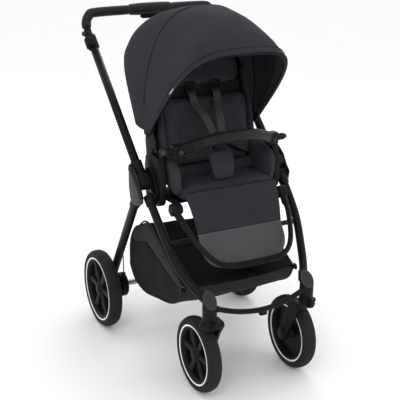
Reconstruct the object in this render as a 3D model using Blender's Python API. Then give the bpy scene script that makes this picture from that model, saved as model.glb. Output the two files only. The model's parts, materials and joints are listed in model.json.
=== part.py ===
"""Baby stroller with a folding frame, a lift-off seat, a canopy and four wheels.

Metres, +Z up.  The stroller faces -Y, and "left" is the -X side.  Every piece is
drawn with y measured from the front axle, and the empty called "stroller" then
moves the whole so that the origin is under the middle of its outline.
"""
import bpy
import bmesh
from math import atan2, cos, pi, radians, sin
from mathutils import Matrix, Vector

# ---- driving dimensions ------------------------------------------------------
FRONT_R = 0.118              # front tyre outer radius
REAR_R = 0.133               # rear tyre outer radius
TYRE_W = 0.045               # tyre width
FRONT_X = 0.1650             # front wheel middle plane
REAR_X = 0.2680              # rear wheel middle plane
REAR_Y = 0.527               # wheelbase
TRAIL = 0.069                # caster trail
SWIVEL_X = 0.1670            # caster swivel axis
SIDE_X = 0.235               # plane of the push tubes
TUBE_ANGLE = radians(41.8)   # slope of the push tubes
PIVOT = (0.246, 0.6032)      # (y, z) of the folding axis
HANDLE_Y = 0.706             # handle bar
HANDLE_Z = 1.046
GRIP_R = 0.0155
GRIP_BULGE_R = 0.0205
LEG_R = 0.0125
REAR_LEG_R = 0.0138
PUSH_R = 0.0135
PUSH_BORE = 0.0120
INNER_R = 0.0115             # telescoping handle leg
THIN_R = 0.0078              # footrest and cross tubes
SEAT_HINGE = (0.285, 0.575)  # (y, z) of the recline axis
BACK_TILT = radians(12)
CANOPY_HINGE = (0.315, 0.745)
FOOT_JOINT = (0.186, 0.124, 0.546)
BUMPER_BLOCK = (0.174, 0.157, 0.717)
BUTTON_R = 0.0085            # push button
BUTTON_HOLE_R = 0.0089       # the recess it slides into
CLEAR = 0.0004               # gap between two pieces that touch
WHEEL_SIDES = 32
ORIGIN_Y = (HANDLE_Y + GRIP_BULGE_R - FRONT_R) / 2

SIDES = (("left", -1), ("right", 1))
BLACK = (0.022, 0.022, 0.023)
PLASTIC = (0.035, 0.036, 0.037)
FABRIC = (0.030, 0.028, 0.034)
RUBBER = (0.040, 0.040, 0.041)
GREY = (0.072, 0.072, 0.072)

# name: colour, roughness, metallic
FINISHES = {
    "frame": (BLACK, 0.45, 0.3), "plastic": (PLASTIC, 0.5, 0.0), "fabric": (FABRIC, 0.9, 0.0),
    "rubber": (RUBBER, 0.8, 0.0), "leather": (BLACK, 0.55, 0.0), "panel": (GREY, 0.5, 0.0),
    "webbing": ((0.09, 0.09, 0.085), 0.8, 0.0), "steel": ((0.4, 0.4, 0.4), 0.35, 1.0),
}


def clear_scene():
    for obj in list(bpy.data.objects):
        bpy.data.objects.remove(obj, do_unlink=True)


# ---- modelling helpers -------------------------------------------------------
def material(name, finish):
    colour, roughness, metallic = FINISHES[finish]
    made = bpy.data.materials.new(name + "_finish")
    made.use_nodes = True
    shader = made.node_tree.nodes["Principled BSDF"]
    shader.inputs["Base Color"].default_value = (*colour, 1.0)
    shader.inputs["Roughness"].default_value = roughness
    shader.inputs["Metallic"].default_value = metallic
    return made


def solid(bm):
    """A bmesh as a temporary object, with its faces pointing out."""
    bmesh.ops.recalc_face_normals(bm, faces=bm.faces)
    mesh = bpy.data.meshes.new("piece")
    bm.to_mesh(mesh)
    bm.free()
    obj = bpy.data.objects.new("piece", mesh)
    bpy.context.scene.collection.objects.link(obj)
    return obj


def boolean(obj, other, operation):
    modifier = obj.modifiers.new("cut", "BOOLEAN")
    modifier.operation = operation
    modifier.object = other
    graph = bpy.context.evaluated_depsgraph_get()
    mesh = bpy.data.meshes.new_from_object(obj.evaluated_get(graph))
    obj.modifiers.clear()
    obj.data = mesh
    bpy.data.objects.remove(other, do_unlink=True)


def together(pieces):
    """Separate solids as one mesh, to cut with all at once."""
    bm = bmesh.new()
    for piece in pieces:
        bm.from_mesh(piece.data)
        bpy.data.objects.remove(piece, do_unlink=True)
    mesh = bpy.data.meshes.new("group")
    bm.to_mesh(mesh)
    bm.free()
    obj = bpy.data.objects.new("group", mesh)
    bpy.context.scene.collection.objects.link(obj)
    return obj


def united(pieces, cuts=()):
    """The pieces made one solid, and then the cuts taken away."""
    obj = pieces[0]
    for other in pieces[1:]:
        boolean(obj, other, "UNION")
    for cutter in cuts:
        boolean(obj, cutter, "DIFFERENCE")
    return obj


def node(name, finish, pieces, cuts=(), origin=(0, 0, 0)):
    """One named sub-part, with its origin on its joint's axis."""
    obj = united(pieces, cuts)
    obj.name = name
    obj.data.name = name
    obj.data.transform(Matrix.Translation(-Vector(origin)))
    obj.location = origin
    obj.parent = bpy.data.objects["stroller"]
    obj.data.materials.clear()
    obj.data.materials.append(material(name, finish))
    obj.data.shade_smooth()
    obj.data.set_sharp_from_angle(angle=radians(35))
    return obj


def smooth_path(points, steps):
    """Points along a Catmull-Rom curve through the given points."""
    pts = [Vector(p) for p in points]
    pts = [2 * pts[0] - pts[1]] + pts + [2 * pts[-1] - pts[-2]]
    path = []
    for a, b, c, d in zip(pts, pts[1:], pts[2:], pts[3:]):
        for step in range(steps):
            t = step / steps
            path.append(0.5 * (2 * b + (c - a) * t + (2 * a - 5 * b + 4 * c - d) * t * t
                               + (3 * b - a - 3 * c + d) * t ** 3))
    return path + [pts[-2]]


def tube(points, radius, bore=0.0, sides=12):
    """A round bar or hollow tube along points; radius may be a list."""
    path = [Vector(p) for p in points]
    radii = radius if isinstance(radius, (list, tuple)) else [radius] * len(path)
    bm = bmesh.new()
    tangents = []
    for i in range(len(path)):
        ahead = path[min(i + 1, len(path) - 1)]
        behind = path[max(i - 1, 0)]
        tangents.append((ahead - behind).normalized())
    side = tangents[0].orthogonal().normalized()
    rings = []
    for place, tangent, r in zip(path, tangents, radii):
        side = (side - tangent * side.dot(tangent)).normalized()
        other = tangent.cross(side)
        layers = []
        for size in ((r, bore) if bore else (r,)):
            turn = [2 * pi * k / sides for k in range(sides)]
            layers.append([bm.verts.new(place + size * (cos(a) * side + sin(a) * other)) for a in turn])
        rings.append(layers)
    for first, second in zip(rings, rings[1:]):
        for low, high in zip(first, second):
            for k in range(sides):
                n = (k + 1) % sides
                bm.faces.new((low[k], low[n], high[n], high[k]))
    for end in (rings[0], rings[-1]):
        if bore:
            for k in range(sides):
                n = (k + 1) % sides
                bm.faces.new((end[0][k], end[0][n], end[1][n], end[1][k]))
        else:
            bm.faces.new(end[0])
    return solid(bm)


def rod(start, end, radius, bore=0.0, sides=16):
    return tube([start, end], radius, bore, sides)


def turned(profile, axis_point, segments=40):
    """A ring or disc turned about an axis along X; the profile is (x, radius)."""
    bm = bmesh.new()
    cx, cy, cz = axis_point
    rings = []
    for k in range(segments):
        a = 2 * pi * k / segments
        rings.append([bm.verts.new((cx + x, cy + r * cos(a), cz + r * sin(a))) for x, r in profile])
    for k in range(segments):
        here, there = rings[k], rings[(k + 1) % segments]
        for i in range(len(profile)):
            j = (i + 1) % len(profile)
            bm.faces.new((here[i], here[j], there[j], there[i]))
    return solid(bm)


def plate(outline, x_low, x_high):
    """A flat plate with its (y, z) outline, from x_low to x_high."""
    bm = bmesh.new()
    low = [bm.verts.new((x_low, y, z)) for y, z in outline]
    high = [bm.verts.new((x_high, y, z)) for y, z in outline]
    bm.faces.new(low)
    bm.faces.new(high)
    for i in range(len(outline)):
        j = (i + 1) % len(outline)
        bm.faces.new((low[i], low[j], high[j], high[i]))
    return solid(bm)


def block(low, high, bevel=0.0, segments=2):
    bm = bmesh.new()
    bmesh.ops.create_cube(bm, size=1.0)
    low, high = Vector(low), Vector(high)
    for vert in bm.verts:
        vert.co = Vector([(low[i] + high[i]) / 2 + vert.co[i] * (high[i] - low[i]) for i in range(3)])
    if bevel:
        bmesh.ops.bevel(bm, geom=bm.edges, offset=bevel, segments=segments, affect="EDGES", profile=0.5)
    return solid(bm)


def panel(half, height, low_corner, top_corner, thick, foot, lean, bevel=0.0):
    """A flat panel with round corners, standing on foot (y, z) and leaning back."""
    outline = []
    for side, start, corner, level in ((1, -90, low_corner, 0), (1, 0, top_corner, height),
                                       (-1, 90, top_corner, height), (-1, 180, low_corner, 0)):
        middle = (side * (half - corner), level + corner if level == 0 else level - corner)
        steps = 4 if corner > 0.02 else 1
        for k in range(steps + 1):
            a = radians(start + 90 * k / steps)
            outline.append((middle[0] + corner * cos(a), middle[1] + corner * sin(a)))
    bm = bmesh.new()
    face = bm.faces.new([bm.verts.new((px, -thick / 2, pz)) for px, pz in outline])
    made = bmesh.ops.extrude_face_region(bm, geom=[face])
    for item in made["geom"]:
        if isinstance(item, bmesh.types.BMVert):
            item.co.y += thick
    bmesh.ops.recalc_face_normals(bm, faces=bm.faces)
    if bevel:
        rim = [edge for edge in bm.edges if abs(edge.verts[0].co.y - edge.verts[1].co.y) < 1e-6]
        bmesh.ops.bevel(bm, geom=rim, offset=bevel, segments=2, affect="EDGES", profile=0.5)
    made = solid(bm)
    made.data.transform(Matrix.Translation((0, *foot)) @ Matrix.Rotation(-lean, 4, "X"))
    return made


def button(start, sign, depth, radius=BUTTON_R):
    """A round push button whose inner face is at start; it stands out along X."""
    edge = 0.0015
    reach = (start[0] + sign * depth, *start[1:])
    cap = rod(start, reach, radius, sides=14)
    shrink = 1 - edge / radius
    for vert in cap.data.vertices:
        if abs(vert.co.x - reach[0]) < CLEAR:
            vert.co.y = start[1] + (vert.co.y - start[1]) * shrink
            vert.co.z = start[2] + (vert.co.z - start[2]) * shrink
    return cap


def arc(centre, radius, start, end, steps):
    """(y, z) points on an arc, angles in degrees from +Y towards +Z."""
    angles = [radians(start + (end - start) * k / steps) for k in range(steps + 1)]
    return [(centre[0] + radius * cos(a), centre[1] + radius * sin(a)) for a in angles]


def along(start, angle, distance):
    """The (y, z) point at a distance from start, at an angle in radians."""
    return (start[0] + distance * cos(angle), start[1] + distance * sin(angle))


def in_yz(x, yz):
    return (x, yz[0], yz[1])


# ---- front frame -------------------------------------------------------------
SOCKET_ANGLE = radians(222)         # way from the folding axis down the front leg
SOCKET_START = 0.052
LEG_TOP = 0.076
HEAD_R = 0.0215
HEAD_BOTTOM = 0.270
CAP_Z = 0.328
LEG_END = (0.1785, -0.030, 0.335)
HINGE_PLATE = (0.2092, 0.2160)      # inner plate that carries the seat
HUB_X = (0.2164, 0.2536)            # folding hub of the push tube


def leg_path(sign):
    top = along(PIVOT, SOCKET_ANGLE, LEG_TOP)
    points = [in_yz(0.2345, top), (0.231, 0.128, 0.493), (0.226, 0.089, 0.450),
              (0.212, 0.040, 0.391), (0.193, -0.005, 0.353), LEG_END]
    return smooth_path([(sign * x, y, z) for x, y, z in points], 3)


def front_legs():
    """Curved legs, each with the inner hinge plate that carries the seat."""
    for name, sign in SIDES:
        outline = [(0.188, 0.578), (0.198, 0.545), (0.262, 0.545), (0.280, 0.600), (0.272, 0.636),
                   (0.244, 0.648), (0.212, 0.632)]
        skin = plate(outline, sign * HINGE_PLATE[0], sign * HINGE_PLATE[1])
        start = along(PIVOT, SOCKET_ANGLE, SOCKET_START)
        end = along(PIVOT, SOCKET_ANGLE, LEG_TOP + 0.006)
        socket = rod(in_yz(sign * 0.2345, start), in_yz(sign * 0.2345, end), 0.0160)
        arm_low = along(PIVOT, SOCKET_ANGLE, 0.066)
        arm = plate([along(PIVOT, SOCKET_ANGLE + 0.5, 0.020), along(PIVOT, SOCKET_ANGLE - 0.5, 0.020),
                     along(arm_low, SOCKET_ANGLE - 1.4, 0.010), along(arm_low, SOCKET_ANGLE + 1.4, 0.010)],
                    sign * HINGE_PLATE[0], sign * (HINGE_PLATE[1] + 0.006))
        room_start = in_yz(sign * (HINGE_PLATE[1] + 0.0001), PIVOT)
        room = rod(room_start, in_yz(sign * 0.26, PIVOT), 0.0265, sides=32)
        node(f"front_leg_{name}", "frame", [tube(leg_path(sign), LEG_R), socket, arm, skin], [room])


def caster_heads():
    for name, sign in SIDES:
        axis = (sign * SWIVEL_X, -TRAIL)
        head = rod((*axis, HEAD_BOTTOM), (*axis, CAP_Z + 0.04), HEAD_R, sides=24)
        leg = leg_path(sign)
        way = (leg[-1] - leg[-2]).normalized()
        stub = rod(leg[-1] + way * CLEAR, leg[-1] + way * 0.030, LEG_R + 0.003)
        bar = cross_path()[::sign]
        way = (bar[-1] - bar[-2]).normalized()
        arm = rod(bar[-1] + way * CLEAR, bar[-1] + way * 0.018, THIN_R + 0.002)
        slope = block((-0.05, -0.05, 0), (0.05, 0.05, 0.06))
        slope.data.transform(Matrix.Translation((*axis, CAP_Z)) @ Matrix.Rotation(radians(47), 4, "X"))
        node(f"caster_head_{name}", "plastic", [head, stub, arm], [slope])


CROSS_HALF = 0.1430
CROSS_Y = -0.0800
CROSS_Z = 0.3000
CROSS_BOW = 0.012
CROSS_SAG = 0.026


def cross_path():
    points = []
    for k in range(-6, 7):
        part = 1 - (k / 6) ** 2
        points.append(Vector((CROSS_HALF * k / 6, CROSS_Y - CROSS_BOW * part, CROSS_Z - CROSS_SAG * part)))
    return points


def cross_tubes():
    node("front_cross_tube", "frame", [tube(cross_path(), THIN_R), block((-0.012, -0.100, 0.2565),
         (0.012, -0.084, 0.272), 0.003)])
    half = 0.2260 - LEG_R - 0.0014
    node("middle_cross_tube", "frame", [rod((-half, 0.0895, 0.4535), (half, 0.0895, 0.4535), THIN_R)])


# ---- push frame --------------------------------------------------------------
SLEEVE_R = 0.0185
SLEEVE_END = 0.070                  # distances along the tube from the folding axis
TUBE_START = 0.034
COLLAR_START = 0.512
COLLAR_END = 0.556
TUBE_END = 0.552


def on_tube(distance):
    return along(PIVOT, TUBE_ANGLE, distance)


def push_frame():
    for name, sign in SIDES:
        x = sign * SIDE_X
        hub = rod(in_yz(sign * HUB_X[0], PIVOT), in_yz(sign * HUB_X[1], PIVOT), 0.0255, sides=32)
        sleeve = rod(in_yz(x, on_tube(0.004)), in_yz(x, on_tube(SLEEVE_END)), SLEEVE_R, sides=20)
        bore = rod(in_yz(x, on_tube(TUBE_START - CLEAR)), in_yz(x, on_tube(0.15)), PUSH_R + CLEAR, sides=20)
        node(f"fold_housing_{name}", "plastic", [hub, sleeve], [bore], origin=in_yz(x, PIVOT))
        node(f"side_tube_{name}", "frame",
             [rod(in_yz(x, on_tube(TUBE_START)), in_yz(x, on_tube(TUBE_END)), PUSH_R, PUSH_BORE, 20)],
             origin=in_yz(x, PIVOT))
        ring = rod(in_yz(x, on_tube(COLLAR_START)), in_yz(x, on_tube(COLLAR_END)), 0.0185, sides=20)
        cam = rod(in_yz(sign * (SIDE_X + 0.006), on_tube(COLLAR_START + 0.006)),
                  in_yz(sign * (SIDE_X + 0.006), on_tube(COLLAR_END - 0.008)), 0.0175, sides=20)
        boolean(ring, cam, "UNION")
        wide = rod(in_yz(x, on_tube(0.45)), in_yz(x, on_tube(TUBE_END + CLEAR)), PUSH_R + CLEAR, sides=20)
        boolean(ring, wide, "DIFFERENCE")
        narrow = rod(in_yz(x, on_tube(0.45)), in_yz(x, on_tube(0.65)), INNER_R + CLEAR, sides=20)
        boolean(ring, narrow, "DIFFERENCE")
        node(f"tube_collar_{name}", "plastic", [ring], origin=in_yz(x, PIVOT))


# ---- telescoping handle ------------------------------------------------------
HANDLE_STEPS = 2
LEG_INSIDE = 0.372                  # lower end of the handle leg, along the tube
BULGE_HALF = 0.079                  # half length of the thick middle of the grip


def handle_path():
    """Half of the handle, from inside the side tube to the middle of the bar."""
    low = [in_yz(SIDE_X, on_tube(d)) for d in (LEG_INSIDE, 0.550, 0.580)]
    bend = [(0.2345, 0.694, 1.014), (0.2220, 0.702, 1.036), (0.1980, HANDLE_Y, 1.0445)]
    bar = [(BULGE_HALF, HANDLE_Y, HANDLE_Z), (0.040, HANDLE_Y, HANDLE_Z)]
    return low + bend + bar + [(0, HANDLE_Y, HANDLE_Z)]


def handle():
    half = handle_path()
    whole = [(-x, y, z) for x, y, z in half] + half[-2::-1]
    path = smooth_path(whole, HANDLE_STEPS)
    knob_at = on_tube(0.571)
    bosses = []
    recesses = []
    for name, sign in SIDES:
        bosses.append(rod((sign * SIDE_X, *knob_at), (sign * (SIDE_X + 0.0150), *knob_at), 0.0108))
        floor = (sign * (SIDE_X + 0.0102), *knob_at)
        recesses.append(rod(floor, (sign * (SIDE_X + 0.02), *knob_at), BUTTON_HOLE_R))
    node("handle_tube", "frame", [tube(path, INNER_R, 0.0, 12)] + bosses, recesses)
    first = 2 * HANDLE_STEPS + 1    # the grip leaves out the straight legs
    padded = path[first:-first]
    radii = [GRIP_R + (GRIP_BULGE_R - GRIP_R) * max(0.0, 1 - (p.x / BULGE_HALF) ** 2) ** 0.4
             if abs(p.x) < BULGE_HALF else GRIP_R for p in padded]
    middle = tube(padded, radii, INNER_R + 2 * CLEAR, 12)
    slot = block((-0.034, HANDLE_Y - 0.012, HANDLE_Z - 0.030), (0.034, HANDLE_Y + 0.012, HANDLE_Z - 0.0155))
    node("handle_grip", "leather", [middle], [slot])
    trigger = block((-0.033, HANDLE_Y - 0.011, HANDLE_Z - 0.0310),
                    (0.033, HANDLE_Y + 0.011, HANDLE_Z - 0.0195), 0.003)
    node("handle_trigger", "plastic", [trigger])
    for name, sign in SIDES:
        cap = button((sign * (SIDE_X + 0.0135), *knob_at), sign, 0.0090)
        node(f"handle_button_{name}", "plastic", [cap])


# ---- rear frame --------------------------------------------------------------
WING_X = (0.2545, 0.2600)
REAR_LEG_X = 0.2390
REAR_FOOT_X = 0.2295
REAR_TOP = (0.2790, 0.5460)
REAR_FOOT = (0.5180, 0.1900)
DRUM_X = (0.1850, 0.2130)
DRUM_R = 0.042
AXLE_R = 0.0095
AXLE_HALF = 0.2205
PIN_R = 0.0060
FOOT_X = (0.2225, 0.2440)


def rear_frame():
    way = atan2(REAR_FOOT[1] - REAR_TOP[1], REAR_FOOT[0] - REAR_TOP[0])
    leg_start = along(REAR_TOP, way, 0.040)
    for name, sign in SIDES:
        x = sign * REAR_LEG_X
        outline = [(0.236, 0.630), (0.214, 0.598), (0.199, 0.572), (0.200, 0.552), (0.226, 0.534),
                   (0.262, 0.528), (0.288, 0.540), (0.297, 0.575), (0.298, 0.618), (0.288, 0.642), (0.266, 0.648)]
        wing = plate(outline, sign * WING_X[0], sign * WING_X[1])
        socket = rod(in_yz(x, REAR_TOP), in_yz(x, along(REAR_TOP, way, 0.044)), 0.0172)
        leg = rod(in_yz(x, leg_start), in_yz(sign * REAR_FOOT_X, REAR_FOOT), REAR_LEG_R)
        foot = rod((sign * FOOT_X[0], REAR_Y, REAR_R), (sign * FOOT_X[1], REAR_Y, REAR_R), 0.0230, sides=24)
        hole = rod((sign * 0.2, REAR_Y, REAR_R), (sign * 0.3, REAR_Y, REAR_R), PIN_R + CLEAR)
        link_start = in_yz(sign * 0.2310, along(REAR_FOOT, way, -0.03))
        link = rod(link_start, (sign * 0.2325, REAR_Y, REAR_R), 0.0110)
        node(f"rear_leg_{name}", "frame", [leg, socket, wing, link, foot], [hole], origin=in_yz(x, PIVOT))
    node("rear_axle", "steel", [
        rod((-AXLE_HALF, REAR_Y, REAR_R), (AXLE_HALF, REAR_Y, REAR_R), AXLE_R),
        rod((-0.2840, REAR_Y, REAR_R), (0.2840, REAR_Y, REAR_R), PIN_R)])
    for name, sign in SIDES:
        drum = turned([(sign * DRUM_X[0], AXLE_R + CLEAR), (sign * DRUM_X[1], AXLE_R + CLEAR),
                       (sign * DRUM_X[1], DRUM_R - 0.004), (sign * (DRUM_X[1] - 0.004), DRUM_R),
                       (sign * (DRUM_X[0] + 0.004), DRUM_R), (sign * DRUM_X[0], DRUM_R - 0.004)],
                      (0, REAR_Y, REAR_R), 20)
        boss_x = sign * (DRUM_X[0] + DRUM_X[1]) / 2
        boss = rod((boss_x, REAR_Y - 0.018, REAR_R + 0.030), (boss_x, REAR_Y - 0.024, REAR_R + 0.052), 0.007)
        node(f"brake_drum_{name}", "plastic", [drum, boss])
    route = [(-0.199, REAR_Y - 0.0242, REAR_R + 0.0528), (-0.2005, 0.4995, 0.2030),
             (-0.2030, 0.4940, 0.2300), (-0.2080, 0.4830, 0.2600),
             (-0.2150, 0.4710, 0.2820), (-0.2205, 0.4610, 0.2990)]
    node("brake_cable", "rubber", [tube(smooth_path(route, 2), 0.0020, 0.0, 8)])
    lever = block((-0.035, REAR_Y + 0.018, REAR_R + 0.006), (0.035, REAR_Y + 0.058, REAR_R + 0.016), 0.003)
    ring = rod((-0.022, REAR_Y, REAR_R), (0.022, REAR_Y, REAR_R), 0.0155, sides=20)
    neck = block((-0.018, REAR_Y + 0.008, REAR_R + 0.002), (0.018, REAR_Y + 0.030, REAR_R + 0.012))
    bore = rod((-0.03, REAR_Y, REAR_R), (0.03, REAR_Y, REAR_R), AXLE_R + CLEAR, sides=20)
    node("brake_pedal", "plastic", [ring, neck, lever], [bore], origin=(0, REAR_Y, REAR_R))


# ---- wheels ------------------------------------------------------------------
SPOKES = 6


def tyre_profile(outer, inner):
    """Half-round tread over straight side walls, as (x, radius)."""
    half = TYRE_W / 2
    shoulder = outer - 0.013
    crown = [(half * sin(radians(a)), shoulder + 0.013 * cos(radians(a))) for a in range(-90, 91, 45)]
    return [(-half + 0.004, inner)] + crown + [(half - 0.004, inner)]


def wheel(name, sign, plane, axle_y, radius, rim_r):
    centre = (sign * plane, axle_y, radius)
    tyre = turned(tyre_profile(radius, rim_r + CLEAR), centre, WHEEL_SIDES)
    node(f"{name.replace('wheel', 'tyre')}", "rubber", [tyre], origin=centre)
    half = TYRE_W / 2 - 0.005
    bore = PIN_R + CLEAR
    wide = half + 0.001
    disc = turned([(sign * -wide, bore), (sign * -wide, 0.016), (sign * -0.003, 0.024),
                   (sign * -0.003, rim_r - 0.010), (sign * -half, rim_r - 0.006), (sign * -half, rim_r),
                   (sign * half, rim_r), (sign * half, rim_r - 0.006), (sign * 0.011, rim_r - 0.009),
                   (sign * 0.011, 0.024), (sign * half, 0.018), (sign * half, bore)], centre, WHEEL_SIDES)
    windows = []
    for k in range(SPOKES):
        middle = 2 * pi * (k + 0.5) / SPOKES
        points = []
        for reach, spread in ((0.031, 0.16), (rim_r - 0.0125, 0.34)):
            sides = (-1, 0, 1) if spread > 0.2 else (-1, 1)
            row = [(reach * cos(middle + s * spread), reach * sin(middle + s * spread)) for s in sides]
            points += row if not points else row[::-1]
        outline = [(axle_y + y, radius + z) for y, z in points]
        windows.append(plate(outline, sign * plane, sign * (plane + 0.03)))
    node(f"{name.replace('wheel', 'rim')}", "plastic", [disc], [together(windows)], origin=centre)


def wheels():
    for name, sign in SIDES:
        wheel(f"rear_wheel_{name}", sign, REAR_X, REAR_Y, REAR_R, 0.1035)
        wheel(f"front_wheel_{name}", sign, FRONT_X, 0.0, FRONT_R, 0.0885)


# ---- casters -----------------------------------------------------------------
def casters():
    for name, sign in SIDES:
        axis = (sign * SWIVEL_X, -TRAIL)
        stem = rod((*axis, 0.240), (*axis, HEAD_BOTTOM - CLEAR), 0.0215, sides=24)
        inner_face, outer_face = 0.1290, 0.1385
        crown = plate([(-0.0880, 0.2400), (-0.0500, 0.2400), (-0.0450, 0.2480), (-0.0500, 0.2600),
                       (-0.0880, 0.2600), (-0.0930, 0.2500)], sign * inner_face, sign * 0.1860)
        arm = plate([(-0.0930, 0.2500), (-0.0880, 0.2600), (-0.0500, 0.2600), (-0.0300, 0.2300),
                     (0.0150, 0.1330)] + arc((0.0, FRONT_R), 0.0200, 25, -155, 8) + [(-0.0700, 0.2150)],
                    sign * inner_face, sign * outer_face)
        boss = rod((sign * 0.1255, 0.0, FRONT_R), (sign * 0.1430, 0.0, FRONT_R), 0.0200, sides=24)
        pin = rod((sign * 0.1300, 0.0, FRONT_R), (sign * 0.1800, 0.0, FRONT_R), PIN_R, sides=16)
        node(f"caster_fork_{name}", "plastic", [crown, arm, stem, boss, pin], origin=(*axis, FRONT_R))
        low = (axis[0] - 0.008, -TRAIL - 0.0330, 0.2440)
        tab = block(low, (axis[0] + 0.008, -TRAIL - 0.0245, 0.2680), 0.002)
        node(f"swivel_lock_{name}", "plastic", [tab])


# ---- seat --------------------------------------------------------------------
HUB_IN = 0.1880
HUB_OUT = 0.2086
BUMPER_ARM_X = (0.1840, 0.1990)


def seat_hubs():
    for name, sign in SIDES:
        outline = (arc((0.205, 0.560), 0.026, 180, 270, 4) + [(0.262, 0.534), (0.286, 0.560)]
                   + [(0.292, 0.640), (0.284, 0.676), (0.258, 0.690), (0.196, 0.686), (0.176, 0.640)])
        body = plate(outline, sign * HUB_IN, sign * HUB_OUT)
        arm = plate([(0.196, 0.680), (0.236, 0.686), (0.204, 0.714), (0.180, 0.722), (0.1775, 0.700)],
                    sign * BUMPER_ARM_X[0], sign * BUMPER_ARM_X[1])
        cup = plate([(0.208, 0.640), (0.268, 0.640), (0.268, 0.700), (0.208, 0.700)],
                    sign * (HUB_IN + 0.006), sign * (HUB_OUT - 0.006))
        node(f"seat_hub_{name}", "plastic", [body, arm], [cup])
        middle = sign * (HUB_IN + HUB_OUT) / 2
        lever = block((middle - 0.0034, 0.2460, 0.6420), (middle + 0.0034, 0.2660, 0.7000), 0.002)
        node(f"seat_release_{name}", "plastic", [lever])


def seat_frame():
    pieces = [block((-0.1660, 0.1420, 0.5560), (0.1660, 0.2680, 0.5620), 0.002)]
    for name, sign in SIDES:
        rail = smooth_path([(sign * 0.1790, 0.2740, 0.5600), (sign * 0.1780, 0.2200, 0.5590),
                            (sign * 0.1730, 0.1560, 0.5590)], 2)
        pieces.append(tube(rail, 0.0088, 0.0, 10))
        pieces.append(rod((sign * 0.160, 0.200, 0.559), (sign * 0.180, 0.200, 0.559), 0.004))
        jaw_x = FOOT_JOINT[0] - 0.0150
        jaw = [(0.1620, 0.5680), (0.1580, 0.5480)] + arc(FOOT_JOINT[1:], 0.0150, -60, -240, 6)
        pieces.append(plate(jaw, sign * (jaw_x - 0.0060), sign * jaw_x))
    pieces.append(rod((-0.1790, 0.2740, 0.5560), (0.1790, 0.2740, 0.5560), 0.0070))
    node("seat_frame", "frame", pieces)


def padded_block(outline, half_width, round_edge):
    """A pad with a (y, z) outline and rounded edges."""
    pad = plate(outline, -half_width, half_width)
    bm = bmesh.new()
    bm.from_mesh(pad.data)
    bmesh.ops.bevel(bm, geom=bm.edges, offset=round_edge, segments=2, affect="EDGES", profile=0.5)
    bm.to_mesh(pad.data)
    bm.free()
    return pad


def on_back(up, ahead):
    """(y, z) at a height up the backrest and a distance in front of its board."""
    y = SEAT_HINGE[0] + up * sin(BACK_TILT) - ahead * cos(BACK_TILT)
    z = SEAT_HINGE[1] + up * cos(BACK_TILT) + ahead * sin(BACK_TILT)
    return (y, z)


BOARD_HALF = 0.0060
PAD_THICK = 0.034
BACK_HEIGHT = 0.405


def seat_pads():
    outline = [(0.1200, 0.5640), (0.2560, 0.5640), (0.2400, 0.5960), (0.1300, 0.6000)]
    cushion = padded_block(outline, 0.1640, 0.010)
    bolsters = []
    for name, sign in SIDES:
        outline = [(0.1500, 0.5800), (0.2300, 0.5800), (0.2520, 0.6500), (0.2400, 0.6750), (0.1900, 0.6600)]
        bolster = plate(outline, sign * 0.1400, sign * 0.1700)
        bolsters.append(bolster)
    node("seat_cushion", "fabric", [cushion] + bolsters)
    crotch = plate([(0.1560, 0.6040), (0.1680, 0.6010), (0.2000, 0.6820), (0.1900, 0.6900)], -0.0320, 0.0320)
    node("crotch_pad", "fabric", [crotch])
    buckle = block((-0.0230, 0.1830, 0.6915), (0.0230, 0.2010, 0.7360), 0.004)
    node("harness_buckle", "plastic", [buckle])


def backrest():
    board = panel(0.1620, BACK_HEIGHT - 0.012, 0.012, 0.085, 2 * BOARD_HALF, on_back(0.012, 0), BACK_TILT)
    pivot = rod((-0.1860, *SEAT_HINGE), (0.1860, *SEAT_HINGE), 0.0080)
    strip = [on_back(-0.004, -0.004), on_back(-0.004, 0.004), on_back(0.02, 0.004), on_back(0.02, -0.004)]
    web = plate(strip, -0.1600, 0.1600)
    brackets = []
    for name, sign in SIDES:
        brackets.append(rod((sign * 0.1600, *CANOPY_HINGE), (sign * 0.1760, *CANOPY_HINGE), 0.0160, sides=20))
        root = on_back(0.150, 0)
        bracket = [along(CANOPY_HINGE, pi / 2, 0.012), along(CANOPY_HINGE, pi / 2, -0.012),
                   along(root, pi / 2, -0.012), along(root, pi / 2, 0.012)]
        brackets.append(plate(bracket, sign * 0.1600, sign * 0.1740))
    node("backrest_board", "plastic", [board, web, pivot] + brackets, origin=(0, *SEAT_HINGE))
    front = BOARD_HALF + CLEAR
    pad = panel(0.1500, BACK_HEIGHT - 0.052, 0.020, 0.080, PAD_THICK,
                on_back(0.042, front + PAD_THICK / 2), BACK_TILT, 0.012)
    node("backrest_pad", "fabric", [pad], origin=(0, *SEAT_HINGE))
    for name, sign in SIDES:
        shoulder = on_back(0.312, front + PAD_THICK + 0.0010)
        bend = on_back(0.285, front + PAD_THICK + 0.0080)
        end = (0.2080, 0.7400)
        outline = [shoulder, bend, end]
        thick = [(y - 0.0035, z + 0.0020) for y, z in outline[::-1]]
        strap = plate(outline + thick, sign * 0.0240 - 0.0125, sign * 0.0240 + 0.0125)
        for vert in strap.data.vertices:
            share = (0.89 - vert.co.z) / 0.15
            vert.co.x += sign * 0.016 * (1 - share) - sign * 0.006 * share
        node(f"shoulder_strap_{name}", "webbing", [strap])
    lever = block((-0.035, -0.006, -0.012), (0.035, 0.006, 0.012), 0.003)
    place = on_back(0.300, -BOARD_HALF - 0.0075)
    lever.data.transform(Matrix.Translation((0, *place)) @ Matrix.Rotation(-BACK_TILT, 4, "X"))
    node("recline_lever", "plastic", [lever])


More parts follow.
